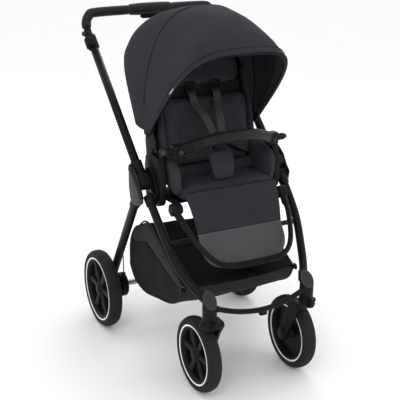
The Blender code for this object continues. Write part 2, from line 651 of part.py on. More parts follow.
# ---- canopy ------------------------------------------------------------------
# base and top of each hoop as (y, z), half width, squareness
HOOPS = (
    ((0.300, 0.735), (0.036, 1.018), 0.192, 3.8),
    ((0.305, 0.738), (0.100, 1.070), 0.196, 3.0),
    ((0.310, 0.741), (0.190, 1.103), 0.198, 2.6),
    ((0.318, 0.744), (0.310, 1.112), 0.200, 2.6),
    ((0.335, 0.745), (0.410, 1.092), 0.202, 3.2),
    ((0.360, 0.745), (0.486, 1.048), 0.201, 4.4),
    ((0.386, 0.745), (0.526, 0.988), 0.197, 5.6),
)
CANOPY_SKIN = 0.003


def hoop_point(hoop, t, inset):
    """A point on a hoop, t running from 0 (left foot) to 1 (right foot)."""
    (base_y, base_z), (top_y, top_z), half, square = hoop
    angle = pi * t
    across = -cos(angle)
    power = 2 / square
    x = (half - inset) * (abs(across) ** power) * (1 if across > 0 else -1)
    rise = abs(sin(angle)) ** power
    reach = Vector((top_y - base_y, top_z - base_z))
    reach *= (reach.length - inset) / reach.length
    return Vector((x, base_y + reach.x * rise, base_z + reach.y * rise))


def canopy():
    steps = 16
    bm = bmesh.new()
    grid = []
    for inset in (0.0, CANOPY_SKIN):
        grid.append([[bm.verts.new(hoop_point(hoop, k / steps, inset)) for k in range(steps + 1)]
                     for hoop in HOOPS])
    outer, inner = grid
    rows = len(HOOPS)
    for i in range(rows - 1):
        for k in range(steps):
            bm.faces.new((outer[i][k], outer[i][k + 1], outer[i + 1][k + 1], outer[i + 1][k]))
            bm.faces.new((inner[i][k], inner[i + 1][k], inner[i + 1][k + 1], inner[i][k + 1]))
    for i in (0, rows - 1):
        for k in range(steps):
            bm.faces.new((outer[i][k], inner[i][k], inner[i][k + 1], outer[i][k + 1]))
    for k in (0, steps):
        for i in range(rows - 1):
            bm.faces.new((outer[i][k], outer[i + 1][k], inner[i + 1][k], inner[i][k]))
    node("canopy", "fabric", [solid(bm)])


def ribs():
    for name, index, inset in (("front_rib", 0, 0.0080), ("rear_rib", 3, 0.0080)):
        hoop = HOOPS[index]
        steps = 16
        path = [hoop_point(hoop, k / steps, inset) for k in range(1, steps)]
        foot_x = 0.1800 if index == 0 else 0.1865
        start = Vector((-foot_x, *CANOPY_HINGE))
        end = Vector((foot_x, *CANOPY_HINGE))
        bar = tube([start] + path + [end], 0.0030, 0.0, 6)
        feet = []
        for sign in (-1, 1):
            foot = (sign * (foot_x - 0.0030), *CANOPY_HINGE)
            feet.append(rod(foot, (sign * (foot_x + 0.0030), *CANOPY_HINGE), 0.0110, sides=12))
        node(name, "frame", [bar] + feet, origin=(0, *CANOPY_HINGE))


# ---- footrest ----------------------------------------------------------------
def footrest():
    x, y, z = FOOT_JOINT
    half = [(x, 0.1080, 0.5340), (0.1800, 0.0900, 0.5200), (0.1760, 0.0680, 0.5050), (0.1620, 0.0300, 0.4710),
            (0.1430, -0.0050, 0.4430), (0.1180, -0.0290, 0.4215), (0.0850, -0.0400, 0.4110),
            (0.0400, -0.0430, 0.4080), (0.0, -0.0430, 0.4080)]
    whole = [(-a, b, c) for a, b, c in half] + half[-2::-1]
    pieces = [tube(smooth_path(whole, 2), THIN_R, 0.0, 10)]
    recesses = []
    for name, sign in SIDES:
        pieces.append(rod((sign * (x - 0.0145), y, z), (sign * (x + 0.0120), y, z), 0.0190, sides=24))
        recesses.append(rod((sign * (x + 0.0075), y, z), (sign * (x + 0.02), y, z), 0.0094))
        pieces.append(rod((sign * x, 0.1180, 0.5410), (sign * 0.1805, 0.0910, 0.5208), 0.0110))
    node("footrest_tube", "frame", pieces, recesses, origin=(0, y, z))
    calf_panel()
    for name, sign in SIDES:
        cap = button((sign * (x + 0.0110), y, z), sign, 0.0075, 0.0090)
        node(f"footrest_button_{name}", "plastic", [cap])


CALF_TOP = (0.1120, 0.5560)
CALF_BOTTOM = (0.0020, 0.3960)
CALF_THICK = 0.008


def calf_panel():
    """A flat padded panel with rounded lower corners, hanging behind the tube."""
    length = (Vector(CALF_TOP) - Vector(CALF_BOTTOM)).length
    lean = atan2(CALF_TOP[0] - CALF_BOTTOM[0], CALF_TOP[1] - CALF_BOTTOM[1])
    hanging = panel(0.1430, length, 0.060, 0.012, CALF_THICK, CALF_BOTTOM, lean)
    node("calf_panel", "panel", [hanging])


# ---- bumper bar --------------------------------------------------------------
def bumper():
    bx, by, bz = BUMPER_BLOCK
    path = []
    steps = 12
    reach, rise = 0.058, 0.040
    for k in range(steps + 1):
        t = 2 * k / steps - 1
        part = 1 - abs(t) ** 2.2
        path.append((0.150 * t, by - 0.004 - reach * part, bz + 0.003 + rise * part))
    bar = tube(path, 0.0172, 0.0, 12)
    pieces = [bar]
    recesses = []
    for name, sign in SIDES:
        pieces.append(block((min(sign * 0.142, sign * 0.1800), by - 0.0170, bz - 0.0190),
                            (max(sign * 0.142, sign * 0.1800), by + 0.0150, bz + 0.0190), 0.006))
        pieces.append(rod((sign * 0.160, by - 0.012, bz), (sign * 0.160, by - 0.0235, bz), 0.0110, sides=20))
        pieces.append(rod((sign * 0.170, by - 0.002, bz), (sign * 0.2030, by - 0.002, bz), 0.0108, sides=16))
        recesses.append(rod((sign * 0.1970, by - 0.002, bz), (sign * 0.21, by - 0.002, bz), BUTTON_HOLE_R))
    node("bumper_bar", "leather", pieces, recesses, origin=BUMPER_BLOCK)
    for name, sign in SIDES:
        cap = button((sign * 0.2015, by - 0.002, bz), sign, 0.0105)
        node(f"bumper_button_{name}", "plastic", [cap])


# ---- basket ------------------------------------------------------------------
# the side's outline as (y, z): the rim from back to front, then the belly
BASKET_RIM = ((0.306, 0.443), (0.180, 0.384), (0.045, 0.318))
BASKET_BELLY = ((0.070, 0.272), (0.135, 0.232), (0.240, 0.205), (0.340, 0.185), (0.420, 0.200),
                (0.455, 0.250), (0.450, 0.330))
BASKET_HALF = 0.196
BASKET_WALL = 0.004
BASKET_MOUTH = ((0.050, 0.450), (0.452, 0.450))     # the cut runs up to here


def basket():
    outline = [*BASKET_RIM, *BASKET_BELLY]
    middle = Vector((sum(y for y, z in outline), sum(z for y, z in outline))) / len(outline)
    inside = []
    for point in outline[2:]:
        way = Vector(point) - middle
        inside.append(tuple(middle + way * (1 - 1.6 * BASKET_WALL / way.length)))
    half_inside = BASKET_HALF - BASKET_WALL
    hollow = plate([BASKET_MOUTH[0], *inside, BASKET_MOUTH[1]], -half_inside, half_inside)
    node("basket", "fabric", [plate(outline, -BASKET_HALF, BASKET_HALF)], [hollow])


def build():
    clear_scene()
    bpy.ops.object.empty_add(location=(0, -ORIGIN_Y, 0))
    bpy.context.object.name = "stroller"
    front_legs()
    caster_heads()
    cross_tubes()
    push_frame()
    handle()
    rear_frame()
    wheels()
    casters()
    seat_hubs()
    seat_frame()
    seat_pads()
    backrest()
    canopy()
    ribs()
    footrest()
    bumper()
    basket()


build()
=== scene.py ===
import json
from math import cos, pi, radians, sin

import bmesh
import bpy
from mathutils import Matrix, Vector, noise


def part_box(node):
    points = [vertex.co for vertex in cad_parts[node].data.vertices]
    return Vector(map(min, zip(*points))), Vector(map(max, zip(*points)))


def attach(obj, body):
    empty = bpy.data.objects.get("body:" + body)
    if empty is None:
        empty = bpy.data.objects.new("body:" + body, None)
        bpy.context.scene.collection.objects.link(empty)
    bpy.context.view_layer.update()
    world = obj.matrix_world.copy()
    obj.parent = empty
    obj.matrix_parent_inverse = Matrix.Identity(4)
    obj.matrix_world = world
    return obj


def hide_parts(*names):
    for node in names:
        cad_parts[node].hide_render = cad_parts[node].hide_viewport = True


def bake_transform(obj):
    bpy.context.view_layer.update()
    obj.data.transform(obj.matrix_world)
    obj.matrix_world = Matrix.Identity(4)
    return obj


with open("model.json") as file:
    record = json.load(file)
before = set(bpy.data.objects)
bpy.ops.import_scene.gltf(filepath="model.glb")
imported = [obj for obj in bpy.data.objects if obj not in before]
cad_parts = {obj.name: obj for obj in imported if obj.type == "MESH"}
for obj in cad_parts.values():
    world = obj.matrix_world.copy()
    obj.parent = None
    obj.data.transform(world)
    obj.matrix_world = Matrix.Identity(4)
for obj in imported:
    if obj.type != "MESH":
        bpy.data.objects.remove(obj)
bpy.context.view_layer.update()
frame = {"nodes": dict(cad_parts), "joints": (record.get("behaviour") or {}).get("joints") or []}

SIDES = (("left", -1), ("right", 1))
JOINTS = {joint["name"]: Vector(joint.get("pos_m", (0, 0, 0))) for joint in frame["joints"]}


def middle(node):
    low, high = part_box(node)
    return (low + high) / 2


AXLE_Y = middle("front_tyre_left").y
SIDE_X = middle("side_tube_right").x
PIVOT = JOINTS["frame_fold"]
SEAT_HINGE = JOINTS["recline"]
CANOPY_HINGE = JOINTS["canopy_fold"]
BACK_TILT = radians(12)
TUBE_ANGLE = radians(41.8)


def at(x, y, z):
    """A frame position from a place whose y is measured from the front axle."""
    return Vector((x, y + AXLE_Y, z))


# ---- materials ---------------------------------------------------------------
class Surface:
    """A procedural material: a Principled shader fed by noise, weave and bump nodes."""

    def __init__(self, name, roughness, metallic=0.0, **sockets):
        self.material = bpy.data.materials.new(name)
        self.material.use_nodes = True
        self.tree = self.material.node_tree
        self.shader = self.tree.nodes["Principled BSDF"]
        self.shader.inputs["Roughness"].default_value = roughness
        self.shader.inputs["Metallic"].default_value = metallic
        for socket, value in sockets.items():
            self.shader.inputs[socket.replace("_", " ")].default_value = value
        self.place = self.tree.nodes.new("ShaderNodeTexCoord").outputs["Object"]

    def node(self, kind, properties=(), **inputs):
        made = self.tree.nodes.new("ShaderNode" + kind)
        for key, value in dict(properties).items():
            setattr(made, key, value)
        for key, value in inputs.items():
            socket = made.inputs[int(key[1:])] if key[0] == "_" else made.inputs[key]
            if isinstance(value, bpy.types.NodeSocket):
                self.tree.links.new(value, socket)
            else:
                socket.default_value = value
        return made

    def noise(self, scale, detail=3.0):
        return self.node("TexNoise", Vector=self.place, Scale=scale, Detail=detail).outputs["Fac"]

    def maths(self, operation, a, b):
        return self.node("Math", {"operation": operation}, _0=a, _1=b).outputs[0]

    def waves(self, direction, pitch):
        """Fine ridges across a direction, one every pitch metres."""
        stretch = self.node("VectorMath", {"operation": "DOT_PRODUCT"}, _0=self.place, _1=direction)
        turn = self.maths("MULTIPLY", stretch.outputs["Value"], 2 * pi / pitch)
        return self.node("Math", {"operation": "SINE"}, _0=turn).outputs[0]

    def colour(self, factor, dark, light, low=0.3, high=0.7):
        ramp = self.node("ValToRGB", Fac=factor)
        ramp.color_ramp.elements[0].color = (*dark, 1)
        ramp.color_ramp.elements[1].color = (*light, 1)
        ramp.color_ramp.elements[0].position = low
        ramp.color_ramp.elements[1].position = high
        self.tree.links.new(ramp.outputs["Color"], self.shader.inputs["Base Color"])
        return ramp.outputs["Color"]

    def worn(self, colour, edge, share):
        """A lighter colour where edges stand out."""
        point = self.node("NewGeometry").outputs["Pointiness"]
        rub = self.node("MapRange", Value=point, _1=0.52, _2=0.60, _3=0.0, _4=share).outputs[0]
        mix = self.node("Mix", {"data_type": "RGBA"}, _0=rub, _6=colour, _7=(*edge, 1))
        self.tree.links.new(mix.outputs[2], self.shader.inputs["Base Color"])

    def rough(self, factor, low, high):
        spread = self.node("MapRange", Value=factor, _3=low, _4=high).outputs[0]
        self.tree.links.new(spread, self.shader.inputs["Roughness"])

    def bump(self, height, strength, depth):
        bump = self.node("Bump", Height=height, Strength=strength, Distance=depth)
        self.tree.links.new(bump.outputs["Normal"], self.shader.inputs["Normal"])


def scaled(colour, factor):
    return tuple(part * factor for part in colour)


def woven(name, colour, thread=0.0011, sheen=0.03):
    """Plain weave with a heathered yarn."""
    made = Surface(name, 0.85, Sheen_Weight=sheen, Sheen_Roughness=0.45, Specular_IOR_Level=0.06)
    warp = made.waves((1, 0, 0), thread)
    weft = made.waves((0, 0.64, 0.77), thread)
    weave = made.maths("MULTIPLY", warp, weft)
    yarn = made.noise(700, 4)
    patch = made.noise(9, 3)
    shade = made.maths("ADD", made.maths("MULTIPLY", yarn, 0.55), made.maths("MULTIPLY", patch, 0.45))
    made.colour(shade, scaled(colour, 0.80), scaled(colour, 1.22), 0.36, 0.64)
    made.rough(patch, 0.78, 0.92)
    height = made.maths("ADD", weave, made.maths("MULTIPLY", yarn, 1.5))
    made.bump(height, 0.35, 0.0004)
    return made.material


def open_mesh(name, colour):
    """Warp-knit mesh with small round holes."""
    made = Surface(name, 0.8, Sheen_Weight=0.02, Specular_IOR_Level=0.06)
    across = made.waves((0, 1, 0), 0.0032)
    up = made.waves((0, 0, 1), 0.0032)
    holes = made.maths("MULTIPLY", across, up)
    made.colour(made.maths("ADD", made.maths("MULTIPLY", holes, 0.45), made.noise(14, 3)),
                scaled(colour, 0.45), scaled(colour, 1.35), 0.25, 0.85)
    made.bump(holes, 0.5, 0.0006)
    return made.material


def grained(name, colour, roughness, scale, depth, wrinkle=18):
    """Synthetic leather: small round cells with a few soft creases."""
    made = Surface(name, roughness, Specular_IOR_Level=0.16)
    cells = made.node("TexVoronoi", Vector=made.place, Scale=scale).outputs["Distance"]
    soft = made.noise(wrinkle, 4)
    plain = made.colour(soft, scaled(colour, 0.86), scaled(colour, 1.14))
    made.worn(plain, scaled(colour, 1.7), 0.5)
    made.rough(soft, roughness - 0.07, roughness + 0.08)
    made.bump(made.maths("ADD", cells, made.maths("MULTIPLY", soft, 0.8)), 0.45, depth)
    return made.material


def moulded(name, colour, roughness, grain=1100, depth=0.00012, edge=1.8):
    """Injection moulded plastic with a spark-eroded grain and rubbed edges."""
    made = Surface(name, roughness, Specular_IOR_Level=0.10)
    fine = made.noise(grain, 3)
    broad = made.noise(22, 3)
    plain = made.colour(broad, scaled(colour, 0.88), scaled(colour, 1.12))
    made.worn(plain, scaled(colour, edge), 0.6)
    made.rough(broad, roughness - 0.06, roughness + 0.08)
    made.bump(fine, 0.4, depth)
    return made.material


def painted(name, colour):
    """Matte powder coat with a slight orange peel and rubbed edges."""
    made = Surface(name, 0.34, Specular_IOR_Level=0.13)
    peel = made.noise(520, 2)
    broad = made.noise(12, 4)
    plain = made.colour(broad, scaled(colour, 0.85), scaled(colour, 1.15))
    made.worn(plain, scaled(colour, 2.2), 0.5)
    made.rough(broad, 0.32, 0.46)
    made.bump(peel, 0.35, 0.00015)
    return made.material


def foam_rubber(name, colour):
    made = Surface(name, 0.72, Specular_IOR_Level=0.12)
    speck = made.noise(900, 3)
    dust = made.noise(16, 4)
    plain = made.colour(dust, scaled(colour, 0.85), scaled(colour, 1.25))
    made.worn(plain, scaled(colour, 1.6), 0.4)
    made.rough(dust, 0.64, 0.82)
    made.bump(speck, 0.4, 0.0002)
    return made.material


def ribbed_tape(name, colour, pitch=0.0042):
    """Belt webbing with ribs along its length."""
    made = Surface(name, 0.7, Specular_IOR_Level=0.10)
    ribs = made.waves((1, 0, 0), pitch)
    cross = made.waves((0, 0.6, 0.8), 0.0016)
    mixed = made.maths("ADD", made.maths("MULTIPLY", ribs, 0.30), made.noise(300, 3))
    made.colour(mixed, scaled(colour, 0.62), scaled(colour, 1.25), 0.25, 0.8)
    made.bump(made.maths("ADD", ribs, made.maths("MULTIPLY", cross, 0.3)), 0.6, 0.0005)
    return made.material


def bare_steel(name):
    made = Surface(name, 0.3, 1.0)
    brushed = made.node("TexNoise", Vector=made.place, Scale=60.0, Detail=6.0).outputs["Fac"]
    made.colour(brushed, (0.22, 0.22, 0.23), (0.42, 0.42, 0.43))
    made.rough(brushed, 0.22, 0.4)
    made.bump(brushed, 0.2, 0.0001)
    return made.material


CLOTH = woven("cloth_charcoal", (0.0300, 0.0278, 0.0338))
# A darker copy of the charcoal cloth: painted shade, for the hood's inside and the slot under the headrest.
CLOTH_PAINTED_SHADE = woven("cloth_painted_shade", (0.0165, 0.0145, 0.0185), 0.0009)
CLOTH_PAD = woven("cloth_pad", (0.0350, 0.0322, 0.0392), 0.0013)
# A lighter copy of the charcoal cloth: painted light, for the basket's inside and the linings of its mesh
# sides.
CLOTH_PAINTED_LIGHT = woven("cloth_painted_light", (0.0640, 0.0600, 0.0700), 0.0013)
MESH = open_mesh("mesh_side", (0.0115, 0.0115, 0.0117))
GRIP = grained("leather_grip", (0.0120, 0.0120, 0.0123), 0.46, 900, 0.00035)
CALF = grained("leather_calf", (0.0600, 0.0600, 0.0600), 0.50, 1300, 0.00025, 7)
PLASTIC = moulded("plastic_black", (0.0060, 0.0061, 0.0063), 0.42)
PLASTIC_DARK = moulded("plastic_dark", (0.0030, 0.0030, 0.0032), 0.38)
PLASTIC_CAP = moulded("plastic_cap", (0.0330, 0.0330, 0.0335), 0.55)
RIM = moulded("plastic_rim", (0.0100, 0.0100, 0.0102), 0.48)
PAINT = painted("paint_black", (0.0038, 0.0038, 0.0040))
RUBBER = foam_rubber("rubber_tyre", (0.0165, 0.0165, 0.0168))
STRIPE = moulded("stripe_white", (0.86, 0.86, 0.85), 0.5, 400, 0.0001, 1.0)
TAPE = ribbed_tape("tape_grey", (0.058, 0.0585, 0.055))
TAPE_DARK = ribbed_tape("tape_black", (0.008, 0.008, 0.009))
THREAD = woven("thread_dark", (0.018, 0.016, 0.020), 0.0005)
THREAD_PALE = woven("thread_pale", (0.36, 0.36, 0.35), 0.0005)
REFLECTIVE = moulded("tape_reflective", (0.50, 0.50, 0.50), 0.35, 2500, 0.0001, 1.0)
STEEL = bare_steel("steel_axle")


# ---- modelling helpers -------------------------------------------------------
def piece(name, bm, material, sharp=40):
    bmesh.ops.recalc_face_normals(bm, faces=bm.faces)
    mesh = bpy.data.meshes.new(name)
    bm.to_mesh(mesh)
    bm.free()
    obj = bpy.data.objects.new(name, mesh)
    bpy.context.scene.collection.objects.link(obj)
    mesh.materials.append(material)
    mesh.shade_smooth()
    mesh.set_sharp_from_angle(angle=radians(sharp))
    return obj


def applied(obj):
    """Turns the object's modifiers into its mesh."""
    graph = bpy.context.evaluated_depsgraph_get()
    made = bpy.data.meshes.new_from_object(obj.evaluated_get(graph))
    obj.modifiers.clear()
    obj.data = made
    return obj


def place(obj, body, slot, *nodes):
    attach(obj, body)
    if nodes:
        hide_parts(*nodes)
    return obj


def joined(name, objects, sharp=40):
    """Several meshes as one object, each keeping its material."""
    bm = bmesh.new()
    materials = []
    for obj in objects:
        start = len(bm.faces)
        bm.from_mesh(obj.data)
        bm.faces.ensure_lookup_table()
        offset = len(materials)
        for face in bm.faces[start:]:
            face.material_index += offset
        materials += list(obj.data.materials)
        bpy.data.objects.remove(obj, do_unlink=True)
    mesh = bpy.data.meshes.new(name)
    bm.to_mesh(mesh)
    bm.free()
    for material in materials:
        mesh.materials.append(material)
    obj = bpy.data.objects.new(name, mesh)
    bpy.context.scene.collection.objects.link(obj)
    mesh.shade_smooth()
    mesh.set_sharp_from_angle(angle=radians(sharp))
    return obj


def curve_through(points, steps):
    """Points along a Catmull-Rom curve through the given points."""
    pts = [Vector(p) for p in points]
    pts = [2 * pts[0] - pts[1]] + pts + [2 * pts[-1] - pts[-2]]
    path = []
    for a, b, c, d in zip(pts, pts[1:], pts[2:], pts[3:]):
        for step in range(steps):
            t = step / steps
            path.append(0.5 * (2 * b + (c - a) * t + (2 * a - 5 * b + 4 * c - d) * t * t
                               + (3 * b - a - 3 * c + d) * t ** 3))
    return path + [pts[-2]]


def lofted(bm, rings):
    """Faces round each pair of neighbouring rings, and over both ends."""
    count = len(rings[0])
    for first, second in zip(rings, rings[1:]):
        for k in range(count):
            n = (k + 1) % count
            bm.faces.new((first[k], first[n], second[n], second[k]))
    bm.faces.new(rings[0])
    bm.faces.new(rings[-1])


def swept(name, points, section, material, sharp=40, up=None):
    """A closed section, (side, other) pairs or a function of the share of the way, along points."""
    path = [Vector(p) for p in points]
    bm = bmesh.new()
    rings = []
    side = None
    for i, spot in enumerate(path):
        ahead = path[min(i + 1, len(path) - 1)]
        behind = path[max(i - 1, 0)]
        tangent = (ahead - behind).normalized()
        if side is None:
            side = Vector(up).cross(tangent) if up else tangent.orthogonal()
        side = (side - tangent * side.dot(tangent)).normalized()
        other = tangent.cross(side)
        shape = section(i / (len(path) - 1)) if callable(section) else section
        rings.append([bm.verts.new(spot + side * u + other * v) for u, v in shape])
    lofted(bm, rings)
    return piece(name, bm, material, sharp)


def spread(half):
    """Shares from -1 to 1, with half of them on each side of the middle."""
    return [k / half - 1 for k in range(2 * half + 1)]


def circle(radius, sides=28):
    return [(radius * cos(2 * pi * k / sides), radius * sin(2 * pi * k / sides)) for k in range(sides)]


def tube(name, points, radius, material, sides=28):
    return swept(name, points, circle(radius, sides), material)


def line(name, points, radius, material):
    """A thin seam, piping or stitch line."""
    return tube(name, points, radius, material, 8)


def stitches(name, points, length, gap, radius, material):
    """A row of short threads along a path."""
    rows = []
    pieces = []
    carry = 0.0
    on = True
    run = [Vector(points[0])]
    for a, b in zip(points, points[1:]):
        a, b = Vector(a), Vector(b)
        span = (b - a).length
        done = 0.0
        while span - done > (length if on else gap) - carry:
            done += (length if on else gap) - carry
            carry = 0.0
            spot = a.lerp(b, done / span)
            if on:
                rows.append(run + [spot])
            run = [spot]
            on = not on
        carry += span - done
        if on and span > done:
            run.append(b)
    for row in rows:
        if (row[-1] - row[0]).length > length / 3:
            ends = [row[0], row[0].lerp(row[-1], 0.5), row[-1]]
            pieces.append(swept("stitch", ends, circle(radius, 6), material))
    return joined(name, pieces)


def turned(name, profile, centre, material, sign=1, segments=96, closed=True, sharp=35):
    """A profile of (x outwards, radius) turned about the X axis through centre."""
    bm = bmesh.new()
    rings = []
    for k in range(segments):
        a = 2 * pi * k / segments
        rings.append([bm.verts.new(centre + Vector((sign * x, r * cos(a), r * sin(a)))) for x, r in profile])
    last = len(profile) if closed else len(profile) - 1
    for k in range(segments):
        here, there = rings[k], rings[(k + 1) % segments]
        for i in range(last):
            j = (i + 1) % len(profile)
            bm.faces.new((here[i], here[j], there[j], there[i]))
    bmesh.ops.remove_doubles(bm, verts=bm.verts, dist=0.00002)
    return piece(name, bm, material, sharp)


def rounded(points, radius, steps=4):
    """An open or closed profile's corners cut round by a given radius."""
    made = [points[0]]
    for a, b, c in zip(points, points[1:], points[2:]):
        a, b, c = Vector(a), Vector(b), Vector(c)
        into, out = (a - b), (c - b)
        reach = min(radius, into.length / 2, out.length / 2)
        start, end = b + into.normalized() * reach, b + out.normalized() * reach
        for k in range(steps + 1):
            t = k / steps
            made.append(tuple(start * (1 - t) ** 2 + b * 2 * t * (1 - t) + end * t * t))
    made.append(points[-1])
    return made


def soft_box(name, low, high, bevel, material, segments=3):
    bm = bmesh.new()
    bmesh.ops.create_cube(bm, size=1.0)
    low, high = Vector(low), Vector(high)
    for vert in bm.verts:
        vert.co = Vector([(low[i] + high[i]) / 2 + vert.co[i] * (high[i] - low[i]) for i in range(3)])
    bmesh.ops.bevel(bm, geom=bm.edges, offset=bevel, segments=segments, affect="EDGES", profile=0.5)
    return piece(name, bm, material, 50)


def grid_sheet(name, rows, material, thickness=0.0, inner=None):
    """A sheet through rows of points, with another material on its inner face if one is given."""
    bm = bmesh.new()
    verts = [[bm.verts.new(p) for p in row] for row in rows]
    for first, second in zip(verts, verts[1:]):
        for k in range(len(first) - 1):
            bm.faces.new((first[k], first[k + 1], second[k + 1], second[k]))
    made = piece(name, bm, material, 60)
    if thickness:
        modifier = made.modifiers.new("thick", "SOLIDIFY")
        modifier.thickness = thickness
        modifier.offset = 0.0
        if inner:
            made.data.materials.append(inner)
            modifier.material_offset = 1
        applied(made)
    return made


def remeshed(obj, voxel):
    modifier = obj.modifiers.new("remesh", "REMESH")
    modifier.mode = "VOXEL"
    modifier.voxel_size = voxel
    return applied(obj)


CLOTH_STEPS = 20
PRESSURE = 4.0


def inflated(obj, voxel, cap):
    """Blows a closed pad up as cloth, each point moving at most cap, then smooths it."""
    remeshed(obj, voxel)
    rest = [vert.co.copy() for vert in obj.data.vertices]
    cloth = obj.modifiers.new("cloth", "CLOTH")
    settings = cloth.settings
    settings.quality = 4
    settings.mass = 0.3
    settings.use_pressure = True
    settings.uniform_pressure_force = PRESSURE
    settings.effector_weights.gravity = 0.0
    scene = bpy.context.scene
    for step in range(1, CLOTH_STEPS + 1):
        scene.frame_set(step)
    graph = bpy.context.evaluated_depsgraph_get()
    blown = obj.evaluated_get(graph).to_mesh()
    moved = [vert.co.copy() for vert in blown.vertices]
    obj.modifiers.clear()
    for vert, start, end in zip(obj.data.vertices, rest, moved):
        way = end - start
        vert.co = start + way * min(1.0, cap / max(way.length, 1e-9))
    scene.frame_set(1)
    smooth = obj.modifiers.new("smooth", "SMOOTH")
    smooth.factor = 0.5
    smooth.iterations = 4
    finer = obj.modifiers.new("finer", "SUBSURF")
    finer.levels = finer.render_levels = 1
    applied(obj)
    obj.data.shade_smooth()
    return obj


def keep(node, material, bevel=0.0012, sharp=32):
    """A CAD node that stays: welded, its edges softened, and given its material."""
    obj = frame["nodes"][node]
    weld = obj.modifiers.new("weld", "WELD")
    weld.merge_threshold = 0.00001
    if bevel:
        soft = obj.modifiers.new("soft", "BEVEL")
        soft.width = bevel
        soft.segments = 2
        soft.limit_method = "ANGLE"
        soft.angle_limit = radians(sharp)
        soft.harden_normals = False
    obj.data.shade_smooth()
    obj.data.set_sharp_from_angle(angle=radians(sharp + 10))
    obj.data.materials.clear()
    obj.data.materials.append(material)
    return obj


WOBBLE_SEED = 2
noise.seed_set(WOBBLE_SEED)  # without a seed, noise_vector differs from run to run


def wobble(point, scale, size):
    """A small smooth offset that depends on where the point is."""
    return noise.noise_vector(point * scale) * size


# ---- wheels ------------------------------------------------------------------
TYRE_HALF = 0.0225
SPOKES = 6


def tyre(name, centre, radius, rim_r, sign):
    """A round tread with fine lines, and a white ring on each side wall."""
    shoulder = radius - 0.013
    profile = [(-0.0185, rim_r), (-0.0192, rim_r + 0.0022)]
    profile += [(-0.0206, rim_r + 0.0070), (-TYRE_HALF, shoulder - 0.002)]
    grooves = (-52, -26, 0, 26, 52)
    for step in range(-90, 91, 3):
        depth = 0.0007 if any(abs(step - g) < 2 for g in grooves) else 0.0
        a = radians(step)
        profile.append((TYRE_HALF * sin(a), shoulder + 0.013 * cos(a) - depth))
    profile += [(TYRE_HALF, shoulder - 0.002), (0.0206, rim_r + 0.0070)]
    profile += [(0.0192, rim_r + 0.0022), (0.0185, rim_r)]
    band = turned(name, profile, centre, RUBBER, sign, 128, sharp=50)
    rings = []
    ring_r = rim_r + 0.0040
    for face in (-1, 1):
        ring = [(face * (0.0194 + 0.0012 * cos(t)), ring_r + 0.0032 * sin(t))
                for t in (2 * pi * k / 12 for k in range(12))]
        rings.append(turned("ring", ring, centre, STRIPE, sign, 128))
    return joined(name + "_tyre", [band] + rings, 50)


def spoke(centre, angle, inner, outer, half_in, half_out, face_x, back_x, sign):
    """One tapered spoke with a raised rib down its middle."""
    bm = bmesh.new()
    steps = 5
    rows = []
    for k in range(steps + 1):
        t = k / steps
        reach = inner + (outer - inner) * t
        half = half_in + (half_out - half_in) * t ** 1.5
        ring = []
        for across, x in ((-1, face_x - 0.0045), (-0.62, face_x - 0.0012), (-0.2, face_x), (0.2, face_x),
                          (0.62, face_x - 0.0012), (1, face_x - 0.0045), (0.85, back_x), (-0.85, back_x)):
            y = reach * cos(angle) - across * half * sin(angle)
            z = reach * sin(angle) + across * half * cos(angle)
            ring.append(bm.verts.new(centre + Vector((sign * x, y, z))))
        rows.append(ring)
    lofted(bm, rows)
    return piece("spoke", bm, RIM, 30)


def rim(name, centre, rim_r, sign):
    """A barrel and hub joined by spokes, with a thin dark ring of painted shade behind them closing the
    openings, and a cap on the hub.
    """
    barrel = rounded([(-0.0175, rim_r), (-0.0180, rim_r - 0.0050), (-0.0120, rim_r - 0.0075),
                      (0.0060, rim_r - 0.0110), (0.0120, rim_r - 0.0095), (0.0180, rim_r - 0.0050),
                      (0.0175, rim_r)], 0.0015)
    parts = [turned("barrel", barrel, centre, RIM, sign, 128)]
    hub = rounded([(-0.0180, 0.0068), (-0.0180, 0.0150), (-0.0020, 0.0230), (0.0100, 0.0240),
                   (0.0150, 0.0200), (0.0180, 0.0185), (0.0185, 0.0068)], 0.0020)
    parts.append(turned("hub", hub, centre, RIM, sign, 64))
    # A thin ring of the darkest plastic behind the spokes: painted shade standing for the dark inside of the
    # wheel seen through the openings.
    web = [(-0.0030, 0.0200), (-0.0030, rim_r - 0.0060), (-0.0004, rim_r - 0.0060), (-0.0004, 0.0200)]
    parts.append(turned("web", web, centre, PLASTIC_DARK, sign, 64))
    for k in range(SPOKES):
        parts.append(spoke(centre, 2 * pi * k / SPOKES, 0.0190, rim_r - 0.0060, 0.0080, 0.0125,
                           0.0115, -0.0010, sign))
    cap = rounded([(0.0165, 0.0001), (0.0165, 0.0001), (0.0225, 0.0001), (0.0222, 0.0100),
                   (0.0205, 0.0150), (0.0170, 0.0160), (0.0165, 0.0001)], 0.0012)
    parts.append(turned("cap", cap, centre, PLASTIC, sign, 48, closed=False))
    return joined(name + "_rim_detail", parts)


def wheels():
    for side, sign in SIDES:
        for end, rim_r in (("rear", 0.1035), ("front", 0.0885)):
            name = f"{end}_wheel_{side}"
            centre = middle(f"{end}_tyre_{side}")
            low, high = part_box(f"{end}_tyre_{side}")
            radius = (high.z - low.z) / 2
            band = tyre(name, centre, radius, rim_r, sign)
            place(band, name, "tyre_rubber", f"{end}_tyre_{side}")
            place(rim(name, centre, rim_r, sign), name, "dark_plastic", f"{end}_rim_{side}")


# ---- frame -------------------------------------------------------------------
LEG_R = 0.0127
THIN_R = 0.0080


def leg_points(sign):
    top = at(0, PIVOT.y - AXLE_Y, PIVOT.z) + Vector((0, cos(radians(222)), sin(radians(222)))) * 0.080
    rest = [(0.231, 0.128, 0.493), (0.226, 0.089, 0.450), (0.212, 0.040, 0.391), (0.193, -0.005, 0.353),
            (0.1785, -0.030, 0.335)]
    points = [Vector((0.2345, top.y, top.z))] + [at(*p) for p in rest]
    return curve_through([(sign * p.x, p.y, p.z) for p in points], 12)


